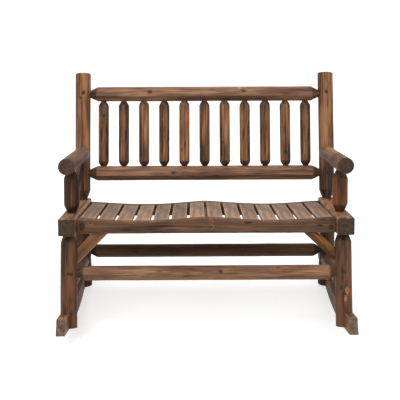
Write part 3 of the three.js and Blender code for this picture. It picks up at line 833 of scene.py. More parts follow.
def knot_group() -> Tree:
    """Scattered knots: a dark heart with a halo, longer along the fibres."""
    g, wires, out = node_group("ShaderNodeTree", "fir_knots", [
        ("Grain", "Vector", None), ("Lot", "Float", 0.0), ("Amount", "Float", 0.5),
    ], [("Knot", "Float"), ("Halo", "Float")])
    grain, lot = wires["Grain"], g.times(wires["Lot"], 23.0)
    bent = g.cloud(grain, (60.0, 60.0, 30.0), lot, 1.0)
    shifted = g.vector("ADD", g.vector("MULTIPLY", grain, (13.0, 13.0, 6.5)), g.combine(bent, bent))
    cell = g.node("ShaderNodeTexVoronoi", {"Vector": shifted, "W": lot, "Scale": 1.0},
                  voronoi_dimensions="4D").outputs
    chance = g.node("ShaderNodeSeparateColor", {0: cell["Color"]}).outputs[0]
    kept = g.math("LESS_THAN", chance, wires["Amount"])
    g.put(out, {"Knot": g.times(g.ramp(cell["Distance"], 0.13, 0.07), kept),
                "Halo": g.times(g.ramp(cell["Distance"], 0.34, 0.1), kept)})
    return g.tree


class KnotKind(Enum):
    """Looks of the knots and stains that have a place of their own."""

    AMBER = "Amber"
    GREY = "Grey"
    DARK = "Dark"


# Each row has a knot's place, then half its width along X and half its height, in metres.
KNOTS: dict[KnotKind, tuple[tuple[float, ...], ...]] = {
    KnotKind.AMBER: (
        # upper rail, front apron, right leg
        (0.1497, 0.3641, 0.8321, 0.008, 0.005), (-0.4345, -0.2535, 0.4365, 0.008, 0.005),
        (0.0196, -0.2519, 0.446, 0.007, 0.007), (0.0221, -0.2561, 0.4237, 0.0075, 0.0075),
        (0.527, -0.3335, 0.1962, 0.009, 0.016), (0.5188, -0.3448, 0.1688, 0.006, 0.012),
    ),
    KnotKind.GREY: (
        # left post, lower rail, spindle, right leg, front stretcher
        (-0.5263, 0.3414, 0.7976, 0.009, 0.01), (-0.1326, 0.2375, 0.4925, 0.02, 0.008),
        (-0.4253, 0.3341, 0.7471, 0.013, 0.017), (0.5049, -0.3283, 0.2062, 0.011, 0.022),
        (0.0523, -0.3058, 0.2638, 0.011, 0.009),
    ),
    KnotKind.DARK: (
        # posts and rails
        (-0.5263, 0.3414, 0.7976, 0.004, 0.005), (-0.5119, 0.3479, 0.8174, 0.009, 0.009),
        (0.5185, 0.3472, 0.8182, 0.008, 0.008), (-0.5167, 0.2356, 0.4967, 0.008, 0.007),
        (0.5143, 0.2345, 0.492, 0.008, 0.007), (-0.2309, 0.3508, 0.8186, 0.012, 0.008),
        (0.1675, 0.3518, 0.8214, 0.01, 0.006), (-0.1326, 0.2375, 0.4925, 0.009, 0.005),
        # spindles
        (-0.4277, 0.3245, 0.7214, 0.007, 0.01), (-0.0831, 0.2831, 0.6019, 0.004, 0.022),
        (-0.0968, 0.2782, 0.5813, 0.004, 0.011), (0.3427, 0.2722, 0.5716, 0.008, 0.01),
        (0.0787, 0.2881, 0.6125, 0.004, 0.005),
        # front apron
        (-0.4667, -0.2552, 0.4283, 0.012, 0.02), (-0.4345, -0.2535, 0.4375, 0.006, 0.004),
        (0.0196, -0.2519, 0.446, 0.004, 0.005), (0.0221, -0.2561, 0.4237, 0.005, 0.005),
        (0.1584, -0.2532, 0.439, 0.016, 0.006), (0.427, -0.2556, 0.4265, 0.014, 0.005),
        (0.4703, -0.2567, 0.4207, 0.01, 0.01),
        # legs and stretcher
        (0.5275, -0.3335, 0.1962, 0.0025, 0.005), (0.5049, -0.3283, 0.2062, 0.006, 0.012),
        (0.5112, -0.3096, 0.2648, 0.008, 0.008), (-0.5072, -0.3113, 0.2579, 0.008, 0.008),
        (0.0523, -0.3058, 0.2638, 0.007, 0.006),
    ),
}
KNOT_DEPTH = 0.012  # half of how deep each placed knot reaches


def placed_knot_group() -> Tree:
    """Masks of the knots that have a place of their own."""
    g, wires, out = node_group("ShaderNodeTree", "placed_knots", [("Place", "Vector", None)],
                               [(kind.value, "Float") for kind in KnotKind])
    ragged = g.minus(g.cloud(wires["Place"], (130.0, 130.0, 130.0), 0.0, 2.0), 0.5)
    for kind, rows in KNOTS.items():
        total: Wire = 0.0
        for *place, across, up in rows:
            apart = g.vector("SUBTRACT", wires["Place"], tuple(place))
            away = g.length(g.vector("DIVIDE", apart, (across, KNOT_DEPTH, up)))
            total = g.math("MAXIMUM", total, g.ramp(g.plus(away, ragged), 1.2, 0.6))
        g.put(out, {kind.value: total})
    return g.tree


@dataclass(frozen=True)
class FirFinish:
    """One way that the bench's fir was torched and worn."""

    name: str
    slot: str
    burnt: Colour = linear(50, 34, 24)
    brown: Colour = linear(110, 75, 50)
    tan: Colour = linear(162, 116, 78)
    amber: Colour = linear(188, 112, 56)
    end: Colour = linear(112, 84, 62)
    tone: float = 0.5
    contrast: float = 0.7
    ring_depth: float = 0.14
    knots: float = 0.3
    flame: float = 0.3
    ring_spacing: float = 0.0034
    streak_width: float = 0.016
    line_depth: float = 0.3
    relief: float = 0.0009  # how high the grain stands, in metres

    def values(self) -> dict[str, Wire]:
        """The finish's colours and numbers, by the names of the wood group's inputs."""
        return {item.name.replace("_", " ").title(): getattr(self, item.name)
                for item in fields(self) if item.name not in ("name", "slot", "relief")}

    def material(self, torched: Tree, fibres: Matrix | None = None) -> bpy.types.Material:
        """Builds the finish.

        Args:
            torched: the group that colours the wood.
            fibres: for a CAD node without attributes, the turn from the row frame into its own.
        Returns:
            The material.
        """
        made = bpy.data.materials.new(self.name)
        g = cleared(made)
        place = g.node("ShaderNodeTexCoord").outputs["Object"]
        values = self.values() | {"Place": place}
        if fibres is None:
            told = {name: g.node("ShaderNodeAttribute", attribute_name=name).outputs
                    for name in ("grain", "marks", "lot", "shade")}
            split = g.node("ShaderNodeSeparateXYZ", {0: told["marks"]["Vector"]}).outputs
            values |= {"Grain": told["grain"]["Vector"], "Lot": told["lot"]["Fac"],
                       "Shade": told["shade"]["Fac"], "Worn": split[0], "Scorch": split[1], "Sawn": split[2]}
        else:
            values["Grain"] = g.node("ShaderNodeMapping", {
                "Vector": place, "Rotation": tuple(fibres.to_euler()),
            }, vector_type="POINT").outputs[0]
        wood = g.node("ShaderNodeGroup", values, node_tree=torched).outputs
        bump = g.node("ShaderNodeBump", {"Height": wood["Height"], "Strength": 0.8, "Distance": self.relief})
        shader = g.node("ShaderNodeBsdfPrincipled", {
            "Base Color": wood["Color"], "Roughness": wood["Roughness"], "Normal": bump.outputs[0],
            "Specular IOR Level": 0.16, "Coat Weight": 0.03, "Coat Roughness": 0.35,
        })
        g.node("ShaderNodeOutputMaterial", {0: shader.outputs[0]})
        return made


def torched_group() -> Tree:
    """Torched and brushed fir: the colour, roughness and relief of one point of the surface."""
    looks = [(name, "Color" if isinstance(value, tuple) else "Float", value)
             for name, value in FirFinish("plain_fir", "log_wood").values().items()]
    g, wires, out = node_group("ShaderNodeTree", "torched_fir", [
        ("Grain", "Vector", None), ("Place", "Vector", None), ("Lot", "Float", 0.0), ("Shade", "Float", 0.0),
        ("Worn", "Float", 0.0), ("Scorch", "Float", 0.0), ("Sawn", "Float", 0.0), *looks,
    ], [("Color", "Color"), ("Roughness", "Float"), ("Height", "Float")])
    vector, burnt, amber = wires["Grain"], wires["Burnt"], wires["Amber"]
    own = {"Grain": vector, "Lot": wires["Lot"]}
    ringed = {name: wires[name] for name in ("Ring Spacing", "Streak Width")}
    fir = g.node("ShaderNodeGroup", node_tree=grain_group())
    g.put(fir.inputs, own | ringed)
    knot = g.node("ShaderNodeGroup", node_tree=knot_group())
    g.put(knot.inputs, own | {"Amount": wires["Knots"]})
    spot = g.node("ShaderNodeGroup", node_tree=placed_knot_group())
    g.put(spot.inputs, {"Place": wires["Place"]})
    fir, knot, spot = fir.outputs, knot.outputs, spot.outputs
    seed = g.times(wires["Lot"], 17.0)
    rings = g.times(fir["Rings"], wires["Ring Depth"])
    tone = g.plus(wires["Tone"], g.sway(fir["Streaks"], wires["Contrast"]))
    for part in (g.sway(fir["Bands"], 0.45), g.sway(fir["Fibres"], 0.35), wires["Shade"]):
        tone = g.plus(tone, part)
    tone = g.minus(g.minus(tone, rings), g.times(fir["Lines"], wires["Line Depth"]))
    colour = g.mix(g.ramp(tone, 0.1, 0.5), burnt, wires["Brown"])
    colour = g.mix(g.ramp(tone, 0.48, 0.95), colour, wires["Tan"])
    flame = g.ramp(g.cloud(vector, (75.0, 75.0, 1.7), g.plus(seed, 9.0), 2.0), 0.56, 0.72)
    colour = g.mix(g.times(flame, wires["Flame"]), colour, amber)
    patch = g.cloud(vector, (70.0, 70.0, 28.0), g.plus(seed, 2.0), 3.0)
    # the worn mark lightens in patches: wear, and on a beam's top painted light
    worn = g.math("MULTIPLY", wires["Worn"], g.ramp(patch, 0.3, 0.62), clamp=True)
    colour = g.mix(g.times(worn, 0.8), colour, g.mix(g.ramp(patch, 0.45, 0.7), wires["Tan"], amber))
    # the scorch mark darkens: char, and painted shade on the right brace's lower face and the slats' side
    # walls
    char_and_shade = g.math("SUBTRACT", g.times(wires["Scorch"], 1.5), g.times(patch, 0.7), clamp=True)
    dark = g.math("MAXIMUM", knot["Knot"], spot[KnotKind.DARK.value])
    for mask, share, shown in (
            (char_and_shade, 0.9, burnt), (knot["Halo"], 0.35, amber),
            (spot[KnotKind.AMBER.value], 0.55, linear(*AMBER_KNOT)),
            (spot[KnotKind.GREY.value], 0.7, linear(*GREY_STAIN)), (dark, 0.85, burnt)):
        colour = g.mix(g.times(mask, share), colour, shown)
    speckle = g.ramp(g.cloud(vector, (240.0, 240.0, 40.0), seed, 3.0, 0.7), 0.36, 0.66)
    clear = g.plus(g.times(speckle, 0.45), g.times(g.ramp(patch, 0.35, 0.65), 0.45))
    end = g.mix(g.times(fir["Rings"], 0.45), g.mix(clear, burnt, wires["End"]), burnt)
    rough = g.plus(g.plus(0.44, g.times(fir["Fibres"], 0.22)), g.times(char_and_shade, 0.12))
    relief = g.plus(g.minus(g.times(fir["Fibres"], 0.5), rings), g.times(fir["Streaks"], 0.5))
    g.put(out, {"Color": g.mix(wires["Sawn"], colour, end), "Roughness": rough,
                "Height": g.minus(relief, g.times(dark, 0.6))})
    return g.tree


class Wood(Enum):
    """The finishes of the bench's pieces."""

    LOG = FirFinish("log_fir", "log_wood", contrast=0.6)
    ARM = FirFinish("arm_fir", "log_wood", brown=linear(104, 76, 56), tan=linear(144, 110, 82), tone=0.5,
                    contrast=0.35, flame=0.15, streak_width=0.012, end=linear(100, 78, 60))
    WARM_ARM = FirFinish("warm_arm_fir", "log_wood", brown=linear(116, 82, 60), tan=linear(166, 124, 94),
                         tone=0.62, contrast=0.32, flame=0.15, streak_width=0.012,
                         end=linear(94, 72, 56))
    # a darker fir for the arm posts under the arms and the back legs under the seat: their char together with
    # painted shade
    CHARRED = FirFinish("charred_fir", "log_wood", burnt=linear(46, 30, 20), brown=linear(80, 51, 32),
                        tan=linear(132, 82, 46), tone=0.42, contrast=0.45, flame=0.35, streak_width=0.02)
    LEG = FirFinish("leg_fir", "log_wood", brown=linear(106, 71, 48), tan=linear(138, 96, 66), tone=0.48,
                    contrast=0.26, streak_width=0.02, flame=0.15, line_depth=0.14)
    RAIL = FirFinish("rail_fir", "rail_wood", brown=linear(110, 78, 60), tan=linear(162, 122, 92),
                     amber=linear(180, 118, 74), tone=0.6, contrast=0.36, streak_width=0.016)
    SPINDLE = FirFinish("spindle_fir", "spindle_wood", tone=0.5, contrast=0.7, streak_width=0.01)
    BOARD = FirFinish("board_fir", "board_wood", burnt=linear(42, 31, 24), brown=linear(92, 68, 51),
                      tan=linear(138, 104, 78), tone=0.46, contrast=0.42, ring_depth=0.16, ring_spacing=0.006)
    BEAM = FirFinish("beam_fir", "log_wood", burnt=linear(42, 31, 24), brown=linear(92, 68, 51),
                     tan=linear(174, 130, 92), amber=linear(194, 138, 88), tone=0.46, contrast=0.6,
                     ring_depth=0.2, ring_spacing=0.006, end=linear(96, 74, 56))
    ROCKER = FirFinish("rocker_fir", "board_wood", tone=0.5, contrast=0.5, ring_depth=0.25,
                       ring_spacing=0.0055, end=linear(150, 122, 98))
    SLAT = FirFinish("slat_fir", "slat_wood", burnt=linear(60, 43, 31), brown=linear(114, 88, 68),
                     tan=linear(172, 140, 112), amber=linear(196, 146, 104), tone=0.52, contrast=0.3,
                     ring_depth=0.08, ring_spacing=0.005, flame=0.25, streak_width=0.022, line_depth=0.04)
    BRACE = FirFinish("brace_fir", "brace_wood", brown=linear(132, 84, 48), tan=linear(196, 134, 80),
                      amber=linear(214, 138, 72), tone=0.98, contrast=0.3, ring_depth=0.95,
                      ring_spacing=0.0075, flame=0.3, line_depth=0.1)
    SPLIT = FirFinish("split_fir", "brace_wood", brown=linear(116, 80, 52), tan=linear(174, 124, 80),
                      tone=0.56, contrast=0.3, flame=0.2, line_depth=0.1)
    DARK = FirFinish("back_rung_fir", "dark_wood", burnt=linear(50, 34, 23), brown=linear(84, 58, 39),
                     tan=linear(106, 78, 54), amber=linear(114, 82, 56), tone=0.64, contrast=0.4)


def hand_over(obj: Piece, material: bpy.types.Material, nodes: Sequence[str]) -> Piece:
    """Gives a finished piece its material and body, and hides the CAD nodes that it stands for.

    Args:
        obj: the piece, its mesh in the row frame.
        material: its material.
        nodes: the CAD nodes that it replaces, if any.
    Returns:
        The piece.
    """
    obj.data.materials.clear()
    obj.data.materials.append(material)
    smooth(obj.data)
    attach(obj, BODY)
    if nodes:
        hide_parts(*nodes)
    LOG.info("%s: %d faces, for %s", obj.name, len(obj.data.polygons), ", ".join(nodes) or "no node")
    return obj


class WoodYard:
    """Holds the finishes' materials, and makes and dresses the pieces of wood."""

    def __init__(self) -> None:
        """Builds the groups and one material for each finish."""
        self.torched = torched_group()
        self.materials = {wood: wood.value.material(self.torched) for wood in Wood}
        self.pieces = 0

    def lot(self) -> float:
        """The next piece's own number."""
        self.pieces += 1
        return self.pieces * LOT_STEP % 1 * LOTS

    def dress(self, obj: Piece, wood: Wood, nodes: Sequence[str]) -> Piece:
        """Hands a piece over in one of the woods."""
        return hand_over(obj, self.materials[wood], nodes)

    def dress_node(self, node: str, wood: Wood, heading: Heading) -> None:
        """Gives a CAD node that keeps its own shape a wood that runs along its heading."""
        material = wood.value.material(self.torched, heading.turn().transposed())
        material.name = f"{node}_fir"
        slots = bpy.data.objects[node].data.materials
        slots.clear()
        slots.append(material)
        LOG.info("%s: the frame's own shape", node)

    def lay_log(self, node: str, heading: Heading, log: Log, wood: Wood, tools: Sequence[Piece] = (),
                shades: Shades = UNSHADED, overrun: float = 0.0, pith: Vector | None = None) -> Piece:
        """Makes a log where one of the frame's logs lies.

        Args:
            node: the CAD node that it stands for.
            heading: the way it lies.
            log: its form.
            wood: its finish.
            tools: what is cut out of it.
            shades: its shade along its length.
            overrun: how far it is longer at its low end, before the cuts.
            pith: the place of the tree's heart in its section; none leaves it to the log's number.
        Returns:
            The finished piece.
        """
        place, lot = Place.of(node, heading), self.lot()
        matrix = place.matrix @ Matrix.Translation((0, 0, -overrun))
        mesh = log.shape(place.size.z + overrun, lot).mesh(f"{node}_log")
        mesh.transform(matrix)
        obj = add_object(f"{node}_log", mesh)
        carve(obj, tools)
        if pith is None:
            pith = Vector((0.006 * math.sin(lot * 5), 0.006 * math.cos(lot * 3), 0.0))
        stamp(obj.data, matrix.inverted(), pith, lot, shades)
        return self.dress(obj, wood, [node])

    def lay_board(self, node: str, heading: Heading, board: Board, wood: Wood, pith: Point) -> Piece:
        """Makes a straight board over a CAD node's own sizes.

        Args:
            node: the CAD node that it stands for.
            heading: the way it lies.
            board: its form.
            wood: its finish.
            pith: the place of the tree's heart in its section.
        Returns:
            The finished piece.
        """
        place, lot = Place.of(node, heading), self.lot()
        mesh = board.shape(*place.size, lot).mesh(f"{node}_board")
        stamp(mesh, Matrix.Identity(4), Vector(pith), lot)
        mesh.transform(place.matrix)
        return self.dress(add_object(f"{node}_board", mesh), wood, [node])


# The back


@dataclass
class Back:
    """The reclined back: two posts, two rails and a row of spindles."""

    post: Log = Log(0.032, LogEnd(0.0195, 0.033, 0.032, scorch=0.5), LogEnd(scorch=0.0, ease=0.003))
    rail: Log = Log.even(0.0308, LogEnd(tip=0.0165, taper=0.031, tenon=0.022, scorch=0.75, swell=1.18),
                         flats=((-90, 0.93), (-40, 0.93), (-148, 0.955)))
    spindle: Log = Log(0.0222, LogEnd(0.0105, 0.021, 0.0154, scorch=0.85, swell=1.8),
                       LogEnd(0.0105, 0.021, 0.0154, scorch=0.5, swell=1.8),
                       flats=((-70, 0.97), (110, 0.975)), around=36, uneven=0.0004, bow=0.0)
    spindles: int = 11
    sample_seed: float = 3.3  # of the sample spindle's own unevenness
    spindle_seed: int = 8
    spindle_fineness: float = 16.0  # of the noise that makes them uneven
    unevenness: float = 0.0012
    hole: ScrewHole = ScrewHole()
    # low on the posts, below the arms, darker: painted shadow of the arms together with the posts' darker
    # wood; lighter above
    post_shades: tuple[Shades, Shades] = (((0.13, -0.3), (0.22, 0.26)), ((0.13, -0.3), (0.22, 0.14)))
    rail_shades: tuple[float, float] = (0.06, 0.03)  # of the lower rail and the upper one
    spindle_shades: tuple[float, ...] = (-0.06, -0.18, 0.1, -0.18, 0.08, -0.1, 0.13, 0.05, -0.14, 0.12,
                                         -0.16)

    def build(self, yard: WoodYard) -> list[Vector]:
        """Builds the back.

        Args:
            yard: makes the logs.
        Returns:
            Where screws sit in the posts' holes.
        """
        seats = []
        rails = ("back_bottom_rail", "back_top_rail")
        levels = [Place.of(rail, Heading.BACK_RAIL) for rail in rails]
        for side, shades in zip(("left", "right"), self.post_shades):
            node = f"back_post_{side}"
            holes = [self.hole.cut_log(node, Heading.POST, self.post.radius, rail) for rail in levels]
            seats += [seat for _, seat in holes]
            yard.lay_log(node, Heading.POST, self.post, Wood.LOG, [tool for tool, _ in holes], shades)
        for node, shade in zip(rails, self.rail_shades):
            yard.lay_log(node, Heading.BACK_RAIL, self.rail, Wood.RAIL, (), ((0.0, shade),))
        self.build_spindles(yard)
        return seats

    def build_spindles(self, yard: WoodYard) -> None:
        """Sets the spindles in a row with a geometry node tree, each turned its own way."""
        nodes = [f"spindle_{k:02d}" for k in range(1, self.spindles + 1)]
        first, last = (Place.of(node, Heading.POST) for node in (nodes[0], nodes[-1]))
        mesh = self.spindle.shape(first.size.z, self.sample_seed).mesh("one_spindle")
        stamp(mesh, Matrix.Identity(4), Vector(), 0.0)
        row = SampleRow("spindles", [*SampleRow.varied, ("Span", "Float", 1.0)])
        g, wires = row.g, row.wires
        step = g.math("DIVIDE", wires["Span"], g.minus(wires["Count"], 1.0))
        line = g.node("GeometryNodeMeshLine", {"Count": wires["Count"], "Offset": g.combine(step)},
                      mode="OFFSET").outputs[0]
        spin = g.combine(z=row.chance(2 * math.pi))
        turn = g.node("FunctionNodeEulerToRotation", {0: spin}).outputs[0]
        obj = row.run(row.vary(row.copies(line, turn), self.spindle_fineness), mesh, {
            "Count": self.spindles, "Span": last.matrix.translation.x - first.matrix.translation.x,
            "Seed": self.spindle_seed, "Unevenness": self.unevenness,
            "Material": yard.materials[Wood.SPINDLE],
        })
        shade_row(obj.data, self.spindle_shades)
        obj.data.transform(first.matrix)
        yard.dress(obj, Wood.SPINDLE, nodes)


# The side frames


@dataclass(frozen=True)
class RockerCurve:
    """The circle that a rocker's underside follows, in the row frame."""

    radius: float = 1.65
    height: float = 0.059
    contact: float = 0.0673
    front_angle: float = 13.5
    back_angle: float = 11.7
    front_run: float = 0.167
    back_run: float = 0.08
    tip_rake: float = 22.0
    clear: float = 0.0001  # kept above the floor

    def centre(self) -> Vector:
        """The circle's centre, over the middle of the bench."""
        return Vector((0, self.contact, self.radius + self.clear))

    def length(self) -> float:
        """The underside's length from tip to tip."""
        return self.front_run + self.back_run + self.arc()

    def arc(self) -> float:
        """The curved stretch's length."""
        return self.radius * math.radians(self.front_angle + self.back_angle)

    def bend(self, along: float, inward: float) -> tuple[float, float]:
        """Moves a point of the straight blank onto the curve.

        Args:
            along: distance from the front tip, along the underside.
            inward: distance from the underside, towards the circle's centre.
        Returns:
            Its Y and Z in the row frame.
        """
        past = along - self.front_run
        swept = min(max(past / self.radius, 0.0), self.arc() / self.radius)
        angle = swept - math.radians(self.front_angle)
        straight = min(past, 0.0) + max(past - self.arc(), 0.0)
        reach, centre = self.radius - inward, self.centre()
        y = reach * math.sin(angle) + straight * math.cos(angle)
        z = -reach * math.cos(angle) + straight * math.sin(angle)
        return centre.y + y, centre.z + z


@dataclass(frozen=True)
class Brace:
    """A corner brace: a bar of square section, its front face turned up about its length."""

    sign: int  # -1 on the left, 1 on the right
    width: float
    turn: float  # degrees
    angle: float = 45.0  # degrees up from the deck
    setback: float = 0.0735  # of its axis from the beams' front ends
    rise: float = 0.032  # of its axis above the front rung, at the leg
    lap: float = 0.012  # how far its foot laps round the leg
    flare: tuple[float, float] = (0.0, 0.0)  # how much wider its foot and head are, upwards
    scorch: float = 0.0  # painted shade on its lower face, which looks down, given as scorch

    def frame(self, low: Vector) -> Matrix:
        """The bar's own frame in the deck's, fibres up from its low end."""
        c, s = math.cos(math.radians(self.angle)), math.sin(math.radians(self.angle))
        fibres = Vector((-self.sign * c, 0, s))
        up = Vector((self.sign * s, 0, c))
        t = math.radians(self.turn)
        back = -(math.cos(t) * Vector((0, -1, 0)) + math.sin(t) * up)
        turn = Matrix((back.cross(fibres), back, fibres)).transposed().to_4x4()
        return Matrix.Translation(low) @ turn


@dataclass
class SideFrames:
    """Beams, arms, arm posts, legs, side rungs, corner braces and rockers of both sides."""

    curve: RockerCurve = RockerCurve()
    arm: Log = Log(0.031, LogEnd(scorch=0.4, ease=0.003), LogEnd(scorch=0.0), uneven=0.0006)
    arm_post: Log = Log(0.0298, LogEnd(0.016, 0.032, 0.02, scorch=0.8), LogEnd(0.016, 0.032, 0.02, 0.7))
    leg: Log = Log(0.032, LogEnd(scorch=0.2, ease=0.002), LogEnd(0.02, 0.034, 0.0305, scorch=0.4))
    back_leg: Log = Log(0.032, LogEnd(scorch=0.2, ease=0.002), LogEnd(0.02, 0.014, 0.0305, scorch=0.5),
                        bow=0.003)
    rung: Log = Log.even(0.0278, LogEnd(0.014, 0.026, 0.016))
    post_radius: float = 0.032
    leg_overrun: float = 0.03
    lap_inset: float = 0.003  # of a lap's face from the leg's axis, inwards
    front_foot_lift: float = 0.006
    back_foot_lift: float = 0.003
    gap: float = 0.0003
    tip_run: float = 0.1  # over which the lean of a rocker's end cuts fades
    hole: ScrewHole = ScrewHole()
    braces: tuple[Brace, Brace] = (
        Brace(-1, 0.035, 8.0, flare=(0.0, 0.012)),
        # the right brace's lower face gets painted shade
        Brace(1, 0.0275, 57.0, angle=43.5, rise=0.0345, flare=(0.012, -0.004), scorch=0.68))
    brace_shades: tuple[float, float] = (-0.14, 0.14)  # at the foot and the head
    arm_woods: tuple[Wood, Wood] = (Wood.ARM, Wood.WARM_ARM)
    arm_post_shades: tuple[float, float] = (-0.16, 0.3)
    front_leg_shades: tuple[float, float] = (0.02, -0.12)
    back_leg_shade: float = 0.05
    leg_pith: Point = (0.004, 0.005, 0.0)

    def build(self, yard: WoodYard) -> list[Vector]:
        """Builds both side frames.

        Args:
            yard: makes the logs and boards.
        Returns:
            Where screws sit in the front legs' holes.
        """
        seats = []
        stretcher = Place.of("front_stretcher", Heading.FRONT_RUNG)
        for k, (side, sign) in enumerate((("left", -1), ("right", 1))):
            self.beam(yard, side)
            post = Place.of(f"back_post_{side}", Heading.POST)
            yard.lay_log(f"arm_{side}", Heading.BEAM, self.arm, self.arm_woods[k],
                         [self.sleeve(f"arm_{side}", post, self.post_radius)])
            yard.lay_log(f"arm_post_{side}", Heading.ARM_POST, self.arm_post, Wood.CHARRED, (),
                         ((0.0, self.arm_post_shades[k]),))
            front, back = f"front_leg_{side}", f"back_leg_{side}"
            hole, seat = self.hole.cut_log(front, Heading.FRONT_LEG, self.leg.radius, stretcher)
            seats.append(seat)
            cuts = self.leg_cuts(front, Heading.FRONT_LEG, sign, self.front_foot_lift)
            yard.lay_log(front, Heading.FRONT_LEG, self.leg, Wood.LEG, cuts + [hole],
                         ((0.0, self.front_leg_shades[k]),), self.leg_overrun, Vector(self.leg_pith))
            outward = replace(self.back_leg, bow_way=0.0 if sign > 0 else 180.0)
            cuts = self.leg_cuts(back, Heading.BACK_LEG, sign, self.back_foot_lift)
            yard.lay_log(back, Heading.BACK_LEG, outward, Wood.CHARRED, cuts,
                         ((0.0, self.back_leg_shade),), self.leg_overrun, Vector(self.leg_pith))
            yard.lay_log(f"side_stretcher_{side}", Heading.BEAM, self.rung, Wood.LOG)
            self.brace(yard, side, self.braces[k], stretcher)
            self.rocker(yard, side)
        return seats

    def beam(self, yard: WoodYard, side: str) -> None:
        """Builds a square side beam."""
        inner = 3 if side == "left" else 2  # the top corner beside the seat
        # the top face is made lighter: painted light from above, with wear
        board = Board(ease=0.0024, waver=0.0007, bare=(2, 0.75), rounded=(inner, 0.006))
        yard.lay_board(f"seat_beam_{side}", Heading.BEAM, board, Wood.BEAM, (0.01, 0.008, 0.0))

    def sleeve(self, node: str, log: Place, radius: float) -> Piece:
        """The round of an upright log, to cut out of the piece that meets it."""
        return drill(f"{node}_cope", log.matrix.translation, log.aim((0, 0, 1)), radius + self.gap, 0.6)

    def leg_cuts(self, node: str, heading: Heading, sign: int, lift: float) -> list[Piece]:
        """The tools that half-lap a leg for its rocker and cut it off above the floor.

        Args:
            node: the leg's CAD node.
            heading: the way it lies.
            sign: -1 on the left, 1 on the right.
            lift: how far its foot stops above the rocker's underside.
        Returns:
            Both tools.
        """
        foot, centre = Place.of(node, heading).matrix.translation, self.curve.centre()
        outward = Vector((0, foot.y - centre.y, foot.z - centre.z)).normalized()
        turn = Matrix((Vector((1, 0, 0)), Vector((0, outward.z, -outward.y)), outward)).transposed()
        frame = Matrix.Translation((foot.x, centre.y, centre.z)) @ turn.to_4x4()
        top, sole = self.curve.radius - self.curve.height - self.gap, self.curve.radius - lift
        lap = ((-sign * self.lap_inset, -0.2, top), (sign * 0.2, 0.2, top + 0.4))
        return [block(f"{node}_lap", lap, frame),
                block(f"{node}_sole", ((-0.1, -0.2, sole), (0.1, 0.2, sole + 0.4)), frame)]

    def brace(self, yard: WoodYard, side: str, brace: Brace, stretcher: Place) -> None:
        """Builds a corner brace: a split bar cut off under the seat and coped on the leg.

        Args:
            yard: dresses it.
            side: its side.
            brace: its form.
            stretcher: where the front stretcher lies.
        """
        node, deck = f"corner_brace_{side}", deck_frame()
        leg = Place.of(f"front_leg_{side}", Heading.FRONT_LEG)
        under = node_box(node, deck)[1].z
        face = abs(leg.matrix.translation.x) - self.leg.radius
        level = (deck.inverted() @ stretcher.matrix.translation).z + self.rung.radius
        foot = Vector((brace.sign * face, brace.setback, level + brace.rise))
        head = foot + (under - foot.z) * Vector((-brace.sign / math.tan(math.radians(brace.angle)), 0, 1))
        spare = brace.lap + 2 * brace.width
        length = (head - foot).length + 2 * spare
        frame = deck @ brace.frame(foot - (head - foot).normalized() * spare)
        lot = yard.lot()
        shape = Board(ease=0.0016, waver=0.0005).shape(brace.width, brace.width, length, lot)
        for ring, marks in zip(shape.rings, shape.marks):
            for k, (x, y, z) in enumerate(ring):
                wider = brace.flare[0] + (brace.flare[1] - brace.flare[0]) * z / length
                ring[k] = (x + brace.sign * wider * (0.5 + brace.sign * x / brace.width), y, z)
                # the lower face is darkened as scorch: painted shade
                if brace.scorch and x < -0.4 * brace.width:
                    marks[k] = (marks[k][0], brace.scorch, marks[k][2])
        mesh = shape.mesh(node)
        mesh.transform(frame)
        obj = add_object(f"{node}_board", mesh)
        heel = ((brace.sign * (face + brace.lap), -1, -1), (brace.sign * (face + 0.3), 1, 1))
        carve(obj, [block(f"{node}_above", ((-1, -1, under), (1, 1, under + 0.3)), deck),
                    block(f"{node}_heel", heel, deck), self.sleeve(node, leg, self.leg.radius)])
        shades = tuple(zip((0.25 * length, 0.7 * length), self.brace_shades))
        stamp(obj.data, frame.inverted(), Vector((0.02, 0.03, 0)), lot, shades)
        yard.dress(obj, Wood.SPLIT if brace.sign < 0 else Wood.BRACE, [node])

    def rocker(self, yard: WoodYard, side: str) -> None:
        """Bends a straight blank onto the rocker's curve; its grain stays straight."""
        node = f"rocker_{side}"
        low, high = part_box(node)
        length, lot = self.curve.length(), yard.lot()
        shape = Board(ease=0.0016, waver=0.0004).shape(high.x - low.x, self.curve.height, length, lot)
        lean = math.tan(math.radians(self.curve.tip_rake))
        for ring in shape.rings:
            for k, (x, y, z) in enumerate(ring):
                inward = self.curve.height / 2 - y
                near_front, near_back = (max(0.0, 1 - away / self.tip_run) for away in (z, length - z))
                along = z + inward * lean * (near_front - near_back)
                ring[k] = ((low.x + high.x) / 2 + x, *self.curve.bend(along, inward))
        mesh = shape.mesh(f"{node}_board")
        flip_if_inside_out(mesh)
        fibres = Matrix.Translation((low.x, 0, 0)) @ Matrix(Way.BACK.value).to_4x4()
        pith = Vector((0.25 if side == "left" else -0.25, 0.03, 0))
        stamp(mesh, fibres.inverted(), pith, lot)
        yard.dress(add_object(f"{node}_board", mesh), Wood.ROCKER, [node])


def flip_if_inside_out(mesh: Mesh) -> None:
    """Turns a closed mesh the right way out."""
    mesh.calc_loop_triangles()
    points = [vertex.co for vertex in mesh.vertices]
    volume = sum(points[a].dot(points[b].cross(points[c]))
                 for a, b, c in (triangle.vertices for triangle in mesh.loop_triangles))
    if volume < 0:
        mesh.flip_normals()


# The seat


